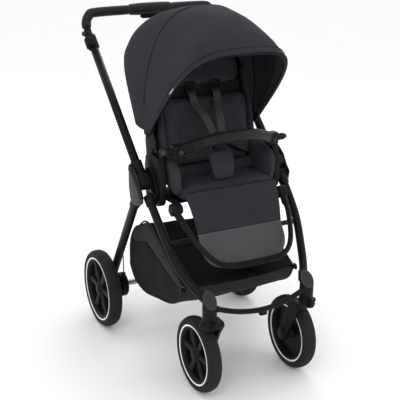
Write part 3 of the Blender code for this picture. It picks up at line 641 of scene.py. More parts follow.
def tubes():
    for side, sign in SIDES:
        leg = tube(f"leg_tube_{side}", leg_points(sign), LEG_R, PAINT)
        place(leg, "frame", "frame_tube")
    half, sag, bow = 0.1430, 0.026, 0.012
    low = []
    for k in range(-20, 21):
        part = 1 - (k / 20) ** 2
        low.append(at(half * k / 20, -0.0800 - bow * part, 0.3000 - sag * part))
    place(tube("cross_tube_cover", low, THIN_R, PAINT), "frame", "frame_tube")
    for node in ("front_leg_left", "front_leg_right", "front_cross_tube", "middle_cross_tube"):
        keep(node, PAINT, 0.0010)


def casters():
    """Heads with a slanted oval cap, a collar with small ears, and a round axle cap."""
    for side, sign in SIDES:
        keep(f"caster_head_{side}", PLASTIC, 0.0012)
        keep(f"caster_fork_{side}", PLASTIC, 0.0022)
        keep(f"swivel_lock_{side}", PLASTIC_DARK, 0.0005)
        axis = JOINTS[f"caster_{side}_swivel"]
        top = Vector((axis.x, axis.y, 0.328))
        tilt = Matrix.Translation(top) @ Matrix.Rotation(radians(47), 4, "X")
        bm = bmesh.new()
        rows = []
        outline = ((0.0206, 0.0302, -0.0010), (0.0211, 0.0308, 0.0012), (0.0200, 0.0296, 0.0026),
                   (0.0120, 0.0180, 0.0030))
        for wide, tall, lift in outline:
            turns = (2 * pi * k / 48 for k in range(48))
            rows.append([bm.verts.new(tilt @ Vector((wide * cos(a), tall * sin(a), lift))) for a in turns])
        lofted(bm, rows)
        place(piece(f"head_cap_{side}", bm, PLASTIC_CAP), "frame", "dark_plastic")
        collar_parts = []
        turn = Matrix.Translation(axis) @ Matrix.Rotation(-pi / 2, 4, "Y")
        ring = rounded([(-0.0280, 0.0205), (-0.0280, 0.0245), (-0.0200, 0.0262), (-0.0120, 0.0262),
                        (-0.0080, 0.0245), (-0.0060, 0.0222), (-0.0060, 0.0205)], 0.0012)
        band = turned("band", ring, Vector((0, 0, 0)), PLASTIC, 1, 64)
        band.data.transform(turn)
        collar_parts.append(band)
        for ear in (-1, 1):
            low = Vector((axis.x + ear * 0.0285 - 0.0050, axis.y - 0.0070, axis.z - 0.0220))
            collar_parts.append(soft_box("ear", low, low + Vector((0.010, 0.014, 0.012)), 0.0025, PLASTIC))
        place(joined(f"fork_collar_{side}", collar_parts), f"caster_{side}", "dark_plastic")
        centre = middle(f"front_tyre_{side}")
        inner = abs(centre.x) - 0.1245
        cap = rounded([(inner, 0.0001), (inner, 0.0001), (inner - 0.0006, 0.0120),
                       (inner - 0.0030, 0.0196), (inner - 0.0130, 0.0204), (inner - 0.0150, 0.0190)], 0.0015)
        disc = turned(f"fork_cap_{side}", [(-x, r) for x, r in cap], centre, PLASTIC, sign, 64)
        place(disc, f"caster_{side}", "dark_plastic")


def rear_frame():
    for side, sign in SIDES:
        keep(f"rear_leg_{side}", PAINT, 0.0012)
        keep(f"brake_drum_{side}", PLASTIC_DARK, 0.0012)
    keep("rear_axle", STEEL, 0.0004)
    keep("brake_cable", PLASTIC_DARK, 0)
    keep("brake_pedal", PLASTIC, 0.0012)


RIDGE_LOW, RIDGE_HIGH = -0.060, 0.066


def push_frame():
    """The folding half of the frame, with a tapered ridge over each fold housing."""
    for side, sign in SIDES:
        keep(f"fold_housing_{side}", PLASTIC, 0.0022)
        keep(f"side_tube_{side}", PAINT, 0.0)
        keep(f"tube_collar_{side}", PLASTIC, 0.0014)
        keep(f"handle_button_{side}", PLASTIC_CAP, 0.0006)
        ridge = []
        for k in range(33):
            d = RIDGE_LOW + (RIDGE_HIGH - RIDGE_LOW) * k / 32
            ridge.append(Vector((sign * 0.2592, PIVOT.y + d * cos(TUBE_ANGLE), PIVOT.z + d * sin(TUBE_ANGLE))))

        def boss(share):
            end = min(share, 1 - share)
            full = min(1.0, (end / 0.10 + 0.02)) ** 0.5
            turns = (2 * pi * k / 28 for k in range(28))
            return [(0.0175 * full * cos(a), 0.0052 * full * sin(a)) for a in turns]

        cover = swept(f"fold_cover_{side}", ridge, boss, PLASTIC, 50, up=(1, 0, 0))
        place(cover, "rear_frame", "dark_plastic")


# ---- handle ------------------------------------------------------------------
GRIP_R, BULGE_R, BULGE_HALF = 0.0157, 0.0207, 0.079
HANDLE_Y, HANDLE_Z = 0.706, 1.046


def handle_half():
    """One leg of the handle, and its crossbar from the bend to the middle."""
    leg = [at(SIDE_X, 0.210 + d * cos(TUBE_ANGLE), 0.571 + d * sin(TUBE_ANGLE))
           for d in (0.560, 0.598, 0.628)]
    bend = [at(0.2345, 0.694, 1.014), at(0.2220, 0.702, 1.036), at(0.1980, HANDLE_Y, 1.0445)]
    bar = [at(BULGE_HALF, HANDLE_Y, HANDLE_Z), at(0.040, HANDLE_Y, HANDLE_Z)]
    return leg, bend + bar + [at(0, HANDLE_Y, HANDLE_Z)]


def bulged(x):
    """The grip's radius across the handle, fuller in the middle."""
    if abs(x) < BULGE_HALF:
        return GRIP_R + (BULGE_R - GRIP_R) * (1 - (x / BULGE_HALF) ** 2) ** 0.4
    return GRIP_R


def handle():
    keep("handle_tube", PAINT, 0.0006)
    keep("handle_trigger", PLASTIC_DARK, 0.0010)
    leg, rest = handle_half()
    steps = 14
    half = curve_through(leg + rest, steps)[2 * steps + 6:]
    path = [Vector((-p.x, p.y, p.z)) for p in half] + half[-2::-1]

    def section(share):
        spot = path[round(share * (len(path) - 1))]
        radius = bulged(spot.x)
        end = min(share, 1 - share)
        if end < 0.012:
            radius -= 0.0016 * (1 - end / 0.012)
        if abs(abs(spot.x) - BULGE_HALF) < 0.0022:
            radius -= 0.0012
        return circle(radius, 36)

    grip = swept("grip_cover", path, section, GRIP)
    place(grip, "handle", "padded_leather", "handle_grip")
    seam = []
    for i in range(len(path) // 16, len(path) - len(path) // 16, 2):
        seam.append(path[i] + Vector((0, 1, -0.25)).normalized() * (bulged(path[i].x) + 0.0001))
    straight = [p for p in seam if abs(p.x) < 0.190]
    place(stitches("grip_stitches", straight, 0.0042, 0.0020, 0.0006, THREAD), "handle", "padded_leather")


# ---- bumper ------------------------------------------------------------------
BUMPER_X, BUMPER_Y, BUMPER_Z = 0.174, 0.157, 0.717


def bumper():
    keep("bumper_bar", PLASTIC, 0.0016)
    path = []
    steps = 48
    for k in range(steps + 1):
        t = 2 * k / steps - 1
        part = 1 - abs(t) ** 2.2
        path.append(at(0.147 * t, BUMPER_Y - 0.004 - 0.058 * part, BUMPER_Z + 0.003 + 0.040 * part))

    def section(share):
        end = min(share, 1 - share)
        return circle(0.0176 - (0.0014 * (1 - end / 0.012) if end < 0.012 else 0.0), 36)

    place(swept("bumper_cover", path, section, GRIP), "bumper", "padded_leather")
    seam = [p + Vector((0, 0.8, -0.6)).normalized() * 0.0177 for p in path[3:-3]]
    place(stitches("bumper_stitches", seam, 0.0042, 0.0020, 0.0006, THREAD), "bumper", "padded_leather")
    for side, sign in SIDES:
        keep(f"bumper_button_{side}", PLASTIC_CAP, 0.0006)
        bolt = rounded([(-0.0020, 0.0001), (-0.0020, 0.0001), (-0.0020, 0.0078), (0.0010, 0.0078),
                        (0.0018, 0.0060), (0.0004, 0.0045), (0.0004, 0.0001)], 0.0006)
        made = turned(f"bumper_bolt_{side}", bolt, Vector((0, 0, 0)), PLASTIC_CAP, 1, 36, closed=False)
        made.data.transform(Matrix.Translation(at(sign * 0.160, BUMPER_Y - 0.0235, BUMPER_Z))
                            @ Matrix.Rotation(-pi / 2, 4, "Z"))
        place(made, "bumper", "dark_plastic")


# ---- footrest and calf panel -------------------------------------------------
def footrest():
    keep("footrest_tube", PLASTIC, 0.0010)
    half = [(0.1800, 0.0900, 0.5200), (0.1760, 0.0680, 0.5050), (0.1620, 0.0300, 0.4710),
            (0.1430, -0.0050, 0.4430), (0.1180, -0.0290, 0.4215), (0.0850, -0.0400, 0.4110),
            (0.0400, -0.0430, 0.4080), (0.0, -0.0430, 0.4080)]
    whole = [at(-x, y, z) for x, y, z in half] + [at(*p) for p in half[-2::-1]]
    path = curve_through(whole, 8)
    place(tube("footrest_cover", path, THIN_R, PAINT), "footrest", "frame_tube")
    sleeve = [p for p in path if abs(p.x) < 0.088]
    place(tube("footrest_sleeve", sleeve, 0.0094, PLASTIC_DARK), "footrest", "dark_plastic")
    hub = Vector((0.186, JOINTS["footrest_angle"].y, JOINTS["footrest_angle"].z))
    for side, sign in SIDES:
        keep(f"footrest_button_{side}", PLASTIC_CAP, 0.0006)
        parts = []
        ring = rounded([(0.0122, 0.0100), (0.0134, 0.0112), (0.0134, 0.0150), (0.0120, 0.0178),
                        (0.0060, 0.0194), (-0.0060, 0.0194), (-0.0060, 0.0188), (0.0110, 0.0100)], 0.0010)
        parts.append(turned("disc", ring, Vector((sign * hub.x, hub.y, hub.z)), PLASTIC, sign, 64))
        for k in range(24):
            a = 2 * pi * k / 24
            spot = Vector((sign * hub.x, hub.y + 0.0193 * cos(a), hub.z + 0.0193 * sin(a)))
            low = spot - Vector((0.0050, 0.0008, 0.0008))
            parts.append(soft_box("tooth", low, low + Vector((0.010, 0.0016, 0.0016)), 0.0004, PLASTIC, 1))
        place(joined(f"ratchet_disc_{side}", parts), "footrest", "dark_plastic")


def leg_panel(name, stations, material, thickness, crown):
    """A padded panel through stations of (y, z, half width), rounded at its edges."""
    columns = 28
    front, back = [], []
    ways = []
    for i in range(len(stations)):
        a = stations[max(i - 1, 0)]
        b = stations[min(i + 1, len(stations) - 1)]
        along = Vector((0, b[0] - a[0], b[1] - a[1])).normalized()
        ways.append(Vector((0, along.z, -along.y)))
    for (y, z, half), out in zip(stations, ways):
        out = -out if out.y > 0 else out
        row_f, row_b = [], []
        for k in range(columns + 1):
            u = 2 * k / columns - 1
            edge = (1 - abs(u) ** 6) ** 0.5
            spot = at(half * u, y, z)
            swell = thickness * (0.25 + 0.75 * edge) / 2
            row_f.append(spot + out * (swell + crown * (1 - u * u)))
            row_b.append(spot - out * swell)
        front.append(row_f)
        back.append(row_b)
    bm = bmesh.new()
    upper = [[bm.verts.new(p) for p in row] for row in front]
    lower = [[bm.verts.new(p) for p in row] for row in back]
    rows = len(stations)
    for i in range(rows - 1):
        for k in range(columns):
            bm.faces.new((upper[i][k], upper[i][k + 1], upper[i + 1][k + 1], upper[i + 1][k]))
            bm.faces.new((lower[i][k], lower[i + 1][k], lower[i + 1][k + 1], lower[i][k + 1]))
        for k in (0, columns):
            bm.faces.new((upper[i][k], lower[i][k], lower[i + 1][k], upper[i + 1][k]))
    for i in (0, rows - 1):
        for k in range(columns):
            bm.faces.new((upper[i][k], upper[i][k + 1], lower[i][k + 1], lower[i][k]))
    return piece(name, bm, material, 60)


PANEL_TOP = (0.1180, 0.5900)
PANEL_SEAM = (0.0560, 0.4830)
PANEL_END = (-0.0020, 0.3905)


def calf_panel():
    stations = []
    steps = 16
    for k in range(steps + 1):
        t = k / steps
        y = PANEL_TOP[0] + (PANEL_SEAM[0] - PANEL_TOP[0]) * t - 0.006 * sin(pi * t)
        z = PANEL_TOP[1] + (PANEL_SEAM[1] - PANEL_TOP[1]) * t + 0.003 * sin(pi * t)
        stations.append((y, z, 0.1560 - 0.0130 * t))
    upper = leg_panel("calf_cloth", stations, CLOTH, 0.0100, 0.0020)
    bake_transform(upper)
    corner = 0.062
    lower = []
    length = (Vector(PANEL_END) - Vector(PANEL_SEAM)).length
    for k in range(25):
        t = 1 - (1 - k / 24) ** 1.6
        gone = length * t
        half = 0.1430
        short = gone - (length - corner)
        if short > 0:
            half -= corner * (1 - (1 - min(short / corner, 0.999) ** 2) ** 0.5)
        half = half if k < 24 else half - 0.010
        y = PANEL_SEAM[0] + (PANEL_END[0] - PANEL_SEAM[0]) * t
        z = PANEL_SEAM[1] + (PANEL_END[1] - PANEL_SEAM[1]) * t
        lower.append((y, z - 0.0006, half))
    shape = leg_panel("calf_leather", lower, CALF, 0.0092, 0.0020)
    place(shape, "footrest", "padded_leather", "calf_panel")
    seam = [at(0.1420 * u, PANEL_SEAM[0] - 0.0048 - 0.0020 * (1 - u * u), PANEL_SEAM[1] + 0.0030)
            for u in spread(24)]
    place(line("calf_seam", seam, 0.0009, THREAD), "footrest", "seat_fabric")


# ---- seat --------------------------------------------------------------------
def on_back(x, up, ahead):
    """A point on the backrest: across, up along it, and in front of its board."""
    y = SEAT_HINGE.y + up * sin(BACK_TILT) - ahead * cos(BACK_TILT)
    z = SEAT_HINGE.z + up * cos(BACK_TILT) + ahead * sin(BACK_TILT)
    return Vector((x, y, z))


def height_pad(name, columns, rows, front, back, place_at, material):
    """A closed pad between two height functions of (u, v), each from -1 to 1."""
    bm = bmesh.new()
    layers = []
    for height in (front, back):
        layer = []
        for j in range(rows + 1):
            v = 2 * j / rows - 1
            layer.append([bm.verts.new(place_at(2 * i / columns - 1, v, height(2 * i / columns - 1, v)))
                          for i in range(columns + 1)])
        layers.append(layer)
    top, bottom = layers
    for j in range(rows):
        for i in range(columns):
            bm.faces.new((top[j][i], top[j][i + 1], top[j + 1][i + 1], top[j + 1][i]))
            bm.faces.new((bottom[j][i], bottom[j + 1][i], bottom[j + 1][i + 1], bottom[j][i + 1]))
    rim_line = ([(0, i) for i in range(columns)] + [(j, columns) for j in range(rows)]
                + [(rows, i) for i in range(columns, 0, -1)] + [(j, 0) for j in range(rows, 0, -1)])
    for (j, i), (n, m) in zip(rim_line, rim_line[1:] + rim_line[:1]):
        bm.faces.new((top[j][i], top[n][m], bottom[n][m], bottom[j][i]))
    return piece(name, bm, material, 60)


def rounded_square(u, v, power=5.0):
    """Maps the square -1..1 onto a square with round corners."""
    size = max(abs(u), abs(v))
    if size < 1e-6:
        return 0.0, 0.0
    length = (abs(u) ** power + abs(v) ** power) ** (1 / power)
    return u * size / length, v * size / length


BACK_LOW, BACK_TOP, HEAD_LOW, HEAD_TOP = 0.044, 0.264, 0.288, 0.392
BACK_HALF = 0.149


def back_pad():
    """The bucket-shaped back with raised wings, and a headrest above a slot for the belts that is coloured
    with painted shade.
    """

    def spot(low, high, half, power):
        def put(u, v, ahead):
            u, v = rounded_square(u, v, power)
            return on_back(half * u, (low + high) / 2 + (high - low) / 2 * v, ahead)
        return put

    def front(u, v):
        wing = max(0.0, (abs(u) - 0.60) / 0.40)
        lift = 0.0180 * sin(min(wing, 1.0) * pi * 0.70)
        return 0.0300 + lift - 0.004 * max(abs(u), abs(v)) ** 10

    def head_front(u, v):
        return 0.0230 + 0.0080 * abs(u) ** 3 - 0.0080 * v - 0.004 * max(abs(u), abs(v)) ** 8

    pad = height_pad("back_cushion", 44, 40, front, lambda u, v: 0.0085,
                     spot(BACK_LOW, BACK_TOP, BACK_HALF, 7.0), CLOTH_PAD)
    inflated(pad, 0.0045, 0.007)
    place(pad, "backrest", "seat_fabric", "backrest_pad")
    head = height_pad("head_cushion", 36, 18, head_front, lambda u, v: 0.0085,
                      spot(HEAD_LOW, HEAD_TOP, 0.136, 4.0), CLOTH_PAD)
    inflated(head, 0.0045, 0.006)
    place(head, "backrest", "seat_fabric")
    # The slot is a sheet of the darker cloth copy: painted shade in the recess between back pad and headrest.
    slot = height_pad("head_slot", 20, 6, lambda u, v: 0.0130, lambda u, v: 0.0072,
                      spot(0.250, 0.300, 0.140, 9.0), CLOTH_PAINTED_SHADE)
    place(slot, "backrest", "seat_fabric")


def side_walls():
    """The shell's sides: a lining beside the pad, and a cloth panel outside each bracket."""
    lining = ((-0.0040, 0.048), (0.0560, 0.048), (0.0600, 0.120), (0.0480, 0.250), (0.0300, 0.330),
              (-0.0040, 0.345))
    outer = ((0.292, 0.615), (0.330, 0.622), (0.350, 0.650), (0.358, 0.700), (0.352, 0.740),
             (0.322, 0.752), (0.296, 0.742), (0.283, 0.690))
    for side, sign in SIDES:
        for name, x_low, x_high, corners, material in (
                ("lining", 0.1525, 0.1570, [on_back(0, up, ahead) for ahead, up in lining], CLOTH_PAD),
                ("shell", 0.1745, 0.1765, [at(0, y, z) for y, z in outer], CLOTH)):
            bm = bmesh.new()
            rings = [[bm.verts.new(Vector((sign * x, p.y, p.z))) for p in corners] for x in (x_low, x_high)]
            lofted(bm, rings)
            bmesh.ops.bevel(bm, geom=bm.edges, offset=0.0009, segments=2, affect="EDGES", profile=0.5)
            wall = piece(f"side_{name}_{side}", bm, material, 50)
            place(wall, "backrest", "seat_fabric")


def back_cover():
    """The shell's fabric cover behind the board, with a stretched pocket."""

    def spot(u, v, ahead):
        u, v = rounded_square(u, v, 6.0)
        return on_back(0.160 * u, 0.205 + 0.186 * v, ahead)

    def outer(u, v):
        return -0.0100 - 0.0035 * (1 - max(abs(u), abs(v)) ** 4)

    cover = height_pad("back_cover", 40, 48, outer, lambda u, v: -0.0068, spot, CLOTH)
    place(cover, "backrest", "seat_fabric")
    hem = [on_back(0.146 * u, 0.236 - 0.010 * (1 - u * u), -0.0148) for u in spread(14)]
    place(line("pocket_hem", hem, 0.0022, CLOTH), "backrest", "seat_fabric")
    keep("backrest_board", PLASTIC_DARK, 0.0012)
    keep("recline_lever", PLASTIC, 0.0010)


def seat_base():
    """The seat cushion with a welted front, and a wing on each side for the thighs."""

    def spot(u, v, height):
        u, v = rounded_square(u, v, 7.0)
        y = 0.1900 + 0.0680 * v
        return at(0.1600 * u, y, 0.5650 + height)

    def top(u, v):
        dish = 0.0050 * (1 - u * u)
        return 0.0335 - dish + 0.0040 * max(0.0, -v) ** 2 - 0.006 * max(abs(u), abs(v)) ** 12

    pad = height_pad("seat_base_cushion", 44, 24, top, lambda u, v: 0.0010, spot, CLOTH_PAD)
    inflated(pad, 0.0045, 0.006)
    place(pad, "seat", "seat_fabric", "seat_cushion")
    roll = [at(0.1560 * u, 0.2600, 0.6080) for u in spread(12)]
    lumbar = swept("lumbar_roll", roll, circle(0.0235, 24), CLOTH_PAD)
    place(lumbar, "seat", "seat_fabric")
    welt = [at(0.1560 * u, 0.1205 + 0.0010 * u * u, 0.5955 - 0.0030 * abs(u) ** 3) for u in spread(20)]
    place(line("seat_welt", welt, 0.0017, CLOTH), "seat", "seat_fabric")
    for side, sign in SIDES:

        def wing_spot(u, v, out):
            u, v = rounded_square(u, v, 3.2)
            y = 0.2060 + 0.0640 * u
            z = 0.6300 + 0.0530 * v + 0.0140 * u
            lean = 0.012 * (v + 1) / 2
            return at(sign * (0.1560 + out + lean), y, z)

        def inner(u, v):
            return -0.0150 + 0.0080 * max(abs(u), abs(v)) ** 4

        wing = height_pad(f"thigh_wing_{side}", 26, 22, inner, lambda u, v: 0.0100, wing_spot, CLOTH_PAD)
        inflated(wing, 0.0045, 0.005)
        place(wing, "seat", "seat_fabric")
        edge = []
        for k in range(33):
            a = radians(-40 + 260 * k / 32)
            u, v = rounded_square(cos(a) * 0.98, sin(a) * 0.98, 3.2)
            edge.append(wing_spot(u, v, -0.0080))
        place(line(f"wing_piping_{side}", edge, 0.0014, THREAD), "seat", "seat_fabric")


def harness():
    """Crotch pad, buckle, shoulder belts with slides, and waist belts."""

    def crotch_spot(u, v, out):
        u, v = rounded_square(u, v, 5.0)
        t = (v + 1) / 2
        y = 0.1610 + 0.0345 * t - 0.0060 * sin(pi * t)
        z = 0.6055 + 0.0800 * t
        width = 0.0350 + 0.0080 * t
        return at(width * u, y - out * 0.92, z + out * 0.38)

    pad = height_pad("crotch_cushion", 18, 26, lambda u, v: 0.0060 - 0.002 * max(abs(u), abs(v)) ** 8,
                     lambda u, v: -0.0060, crotch_spot, CLOTH_PAD)
    smooth = pad.modifiers.new("smooth", "SUBSURF")
    smooth.levels = smooth.render_levels = 1
    applied(pad)
    place(pad, "seat", "seat_fabric", "crotch_pad")
    keep("harness_buckle", PLASTIC_DARK, 0.0020)
    buckle = middle("harness_buckle")
    press = soft_box("buckle_button", buckle + Vector((-0.0095, -0.0115, -0.0120)),
                     buckle + Vector((0.0095, -0.0080, 0.0080)), 0.0016, PLASTIC)
    place(press, "seat", "dark_plastic")
    for side, sign in SIDES:
        x_top, x_low = 0.0430, 0.0150
        route = [on_back(sign * x_top, 0.278, 0.0140), on_back(sign * x_top, 0.275, 0.0330),
                 on_back(sign * (x_top - 0.001), 0.262, 0.0440),
                 on_back(sign * (x_top - 0.004), 0.235, 0.0500),
                 at(sign * 0.0260, 0.2440, 0.7850), at(sign * x_low, 0.2080, 0.7400)]
        path = curve_through(route, 8)
        flat = [(-0.0125, -0.0008), (0.0125, -0.0008), (0.0125, 0.0008), (-0.0125, 0.0008)]
        belt = swept(f"shoulder_belt_{side}", path, flat, TAPE, 30, up=(0, 0.45, 0.9))
        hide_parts(f"shoulder_strap_{side}")
        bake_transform(belt)
        slide_parts = []
        spot = on_back(sign * x_top, 0.2900, 0.0330)
        frame_turn = Matrix.Translation(spot) @ Matrix.Rotation(-BACK_TILT, 4, "X")
        for low, high in (((-0.0165, -0.0030, -0.0130), (-0.0125, 0.0030, 0.0130)),
                          ((0.0125, -0.0030, -0.0130), (0.0165, 0.0030, 0.0130)),
                          ((-0.0165, -0.0030, 0.0100), (0.0165, 0.0030, 0.0135)),
                          ((-0.0165, -0.0034, -0.0015), (0.0165, 0.0026, 0.0020)),
                          ((-0.0165, -0.0030, -0.0135), (0.0165, 0.0030, -0.0100))):
            bar = soft_box("bar", low, high, 0.0008, PLASTIC_DARK, 2)
            bar.data.transform(frame_turn)
            slide_parts.append(bar)
        place(joined(f"belt_slide_{side}", slide_parts), "backrest", "dark_plastic")
        waist = [at(sign * 0.0200, 0.1990, 0.7050), at(sign * 0.0500, 0.2080, 0.6900),
                 at(sign * 0.0950, 0.2400, 0.6620), at(sign * 0.1300, 0.2620, 0.6420)]
        belt = swept(f"waist_belt_{side}", curve_through(waist, 6), flat, TAPE_DARK, 30, up=(0, 0.3, 1))
        place(belt, "seat", "seat_fabric")
        pale = [p + Vector((0, -0.0012, 0.0012)) for p in curve_through(waist, 6)[6:]]
        sewn = stitches(f"waist_stitches_{side}", pale, 0.0030, 0.0016, 0.0006, THREAD_PALE)
        place(sewn, "seat", "seat_fabric")


def seat_hardware():
    for side, sign in SIDES:
        keep(f"seat_hub_{side}", PLASTIC, 0.0024)
        keep(f"seat_release_{side}", PLASTIC_DARK, 0.0008)
    keep("seat_frame", PAINT, 0.0010)


# ---- canopy ------------------------------------------------------------------
# base and top of each hoop as (y, z), half width, squareness
HOOPS = (
    ((0.300, 0.735), (0.036, 1.018), 0.192, 3.8),
    ((0.305, 0.738), (0.100, 1.070), 0.196, 3.0),
    ((0.310, 0.741), (0.190, 1.103), 0.198, 2.6),
    ((0.318, 0.744), (0.310, 1.112), 0.200, 2.6),
    ((0.335, 0.745), (0.410, 1.092), 0.202, 3.2),
    ((0.360, 0.745), (0.486, 1.048), 0.201, 4.4),
    ((0.386, 0.745), (0.526, 0.988), 0.197, 5.6),
)
REAR_CURTAIN = (
    ((0.386, 0.740), (0.522, 0.955), 0.190, 5.0),
    ((0.378, 0.742), (0.498, 0.934), 0.177, 4.0),
)
SKIN = 0.0020


def hoop_between(position, table):
    """The hoop at a place along the table, by a smooth curve through its hoops."""
    rows = [[*base, *top, half, square] for base, top, half, square in table]
    i = min(int(position), len(rows) - 2)
    t = position - i
    a, b, c, d = (rows[max(i - 1, 0)], rows[i], rows[i + 1], rows[min(i + 2, len(rows) - 1)])
    return [0.5 * (2 * q + (r - p) * t + (2 * p - 5 * q + 4 * r - s) * t * t
                   + (3 * q - p - 3 * r + s) * t ** 3)
            for p, q, r, s in zip(a, b, c, d)]


def hoop_spot(hoop, t, inset=0.0):
    """A point on a hoop, t running from 0 (left foot) to 1 (right foot)."""
    base_y, base_z, top_y, top_z, half, square = hoop
    across = -cos(pi * t)
    power = 2 / square
    x = (half - inset) * (abs(across) ** power) * (1 if across > 0 else -1)
    rise = max(sin(pi * t), 0.0) ** power
    reach = Vector((top_y - base_y, top_z - base_z))
    reach *= (reach.length - inset) / reach.length
    return at(x, base_y + reach.x * rise, base_z + reach.y * rise)


def canopy_row(position, steps, inset=0.0):
    return [hoop_spot(hoop_between(position, HOOPS), k / steps, inset) for k in range(steps + 1)]


def canopy():
    """One continuous hood: the skin, drawn in a little between its ribs, and a rear curtain."""
    steps = 72
    rows = []
    last = len(HOOPS) - 1
    fine = 54
    for i in range(fine + 1):
        position = last * i / fine
        slack = 0.0022 * sin(pi * min(position / 3, 1.0)) + 0.0018 * sin(pi * max(0.0, (position - 3) / 3))
        row = []
        for k, spot in enumerate(canopy_row(position, steps)):
            inset = SKIN / 2 + 0.0006
            side = min(k, steps - k) / steps
            inner = hoop_spot(hoop_between(position, HOOPS), k / steps, inset + slack * min(1.0, side * 8))
            ripple = wobble(inner, 11, 0.0022) + wobble(inner, 34, 0.0007)
            row.append(inner + ripple * min(1.0, 6 * side + 0.2))
        rows.append(row)
    table = (HOOPS[-1],) + REAR_CURTAIN
    for i in range(1, 9):
        hoop = hoop_between(2 * i / 8, table)
        rows.append([hoop_spot(hoop, k / steps, SKIN / 2 + 0.0006) for k in range(steps + 1)])
    # The hood's inner face gets the darker cloth copy: painted shade under the hood.
    hood = grid_sheet("hood", rows, CLOTH, SKIN, CLOTH_PAINTED_SHADE)
    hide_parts("canopy")
    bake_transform(hood)

    edge = [hoop_spot(hoop_between(0, HOOPS), k / 96, 0.0016) for k in range(97)]
    hem_rows = []
    for depth, inset in ((0.0, 0.0005), (0.0, 0.0046), (0.40, 0.0054), (0.80, 0.0056), (0.81, 0.0030),
                         (0.30, 0.0022)):
        hem_rows.append([hoop_spot(hoop_between(depth, HOOPS), k / 96, inset) for k in range(97)])
    hem = grid_sheet("hood_hem", hem_rows, CLOTH, 0.0012)
    place(hem, "canopy_front", "seat_fabric")
    place(line("hood_piping", edge, 0.0024, CLOTH), "canopy_front", "seat_fabric")
    ridge = [hoop_spot(hoop_between(0.30, HOOPS), k / 96, -0.0002) for k in range(3, 94)]
    place(line("hood_ridge", ridge, 0.0013, CLOTH), "canopy_front", "seat_fabric")
    rear = [hoop_spot(hoop_between(3.0, HOOPS), k / 96, -0.0001) for k in range(4, 93)]
    place(line("hood_seam", rear, 0.0012, THREAD), "canopy_rear", "seat_fabric")

    reflector = [hoop_spot(hoop_between(0.02, HOOPS), t, -0.0010) for t in (0.105, 0.118, 0.131)]
    place(line("hood_reflector", reflector, 0.0017, REFLECTIVE), "canopy_front", "seat_fabric")
    for node in ("front_rib", "rear_rib"):
        keep(node, PAINT, 0.0)
    for side, sign in SIDES:
        spot = Vector((sign * 0.190, CANOPY_HINGE.y, CANOPY_HINGE.z))
        low = spot - Vector((0.0050, 0.0130, 0.0180))
        tab = soft_box(f"hood_tab_{side}", low, low + Vector((0.010, 0.026, 0.030)), 0.0030, PLASTIC_DARK)
        place(tab, "backrest", "dark_plastic")


# ---- basket ------------------------------------------------------------------
RIM_BACK, RIM_MID, RIM_FRONT = (0.306, 0.443), (0.180, 0.384), (0.045, 0.318)
BELLY = ((0.070, 0.272), (0.135, 0.232), (0.240, 0.205), (0.340, 0.185), (0.420, 0.200), (0.455, 0.250),
         (0.450, 0.330))
BASKET_HALF = 0.196


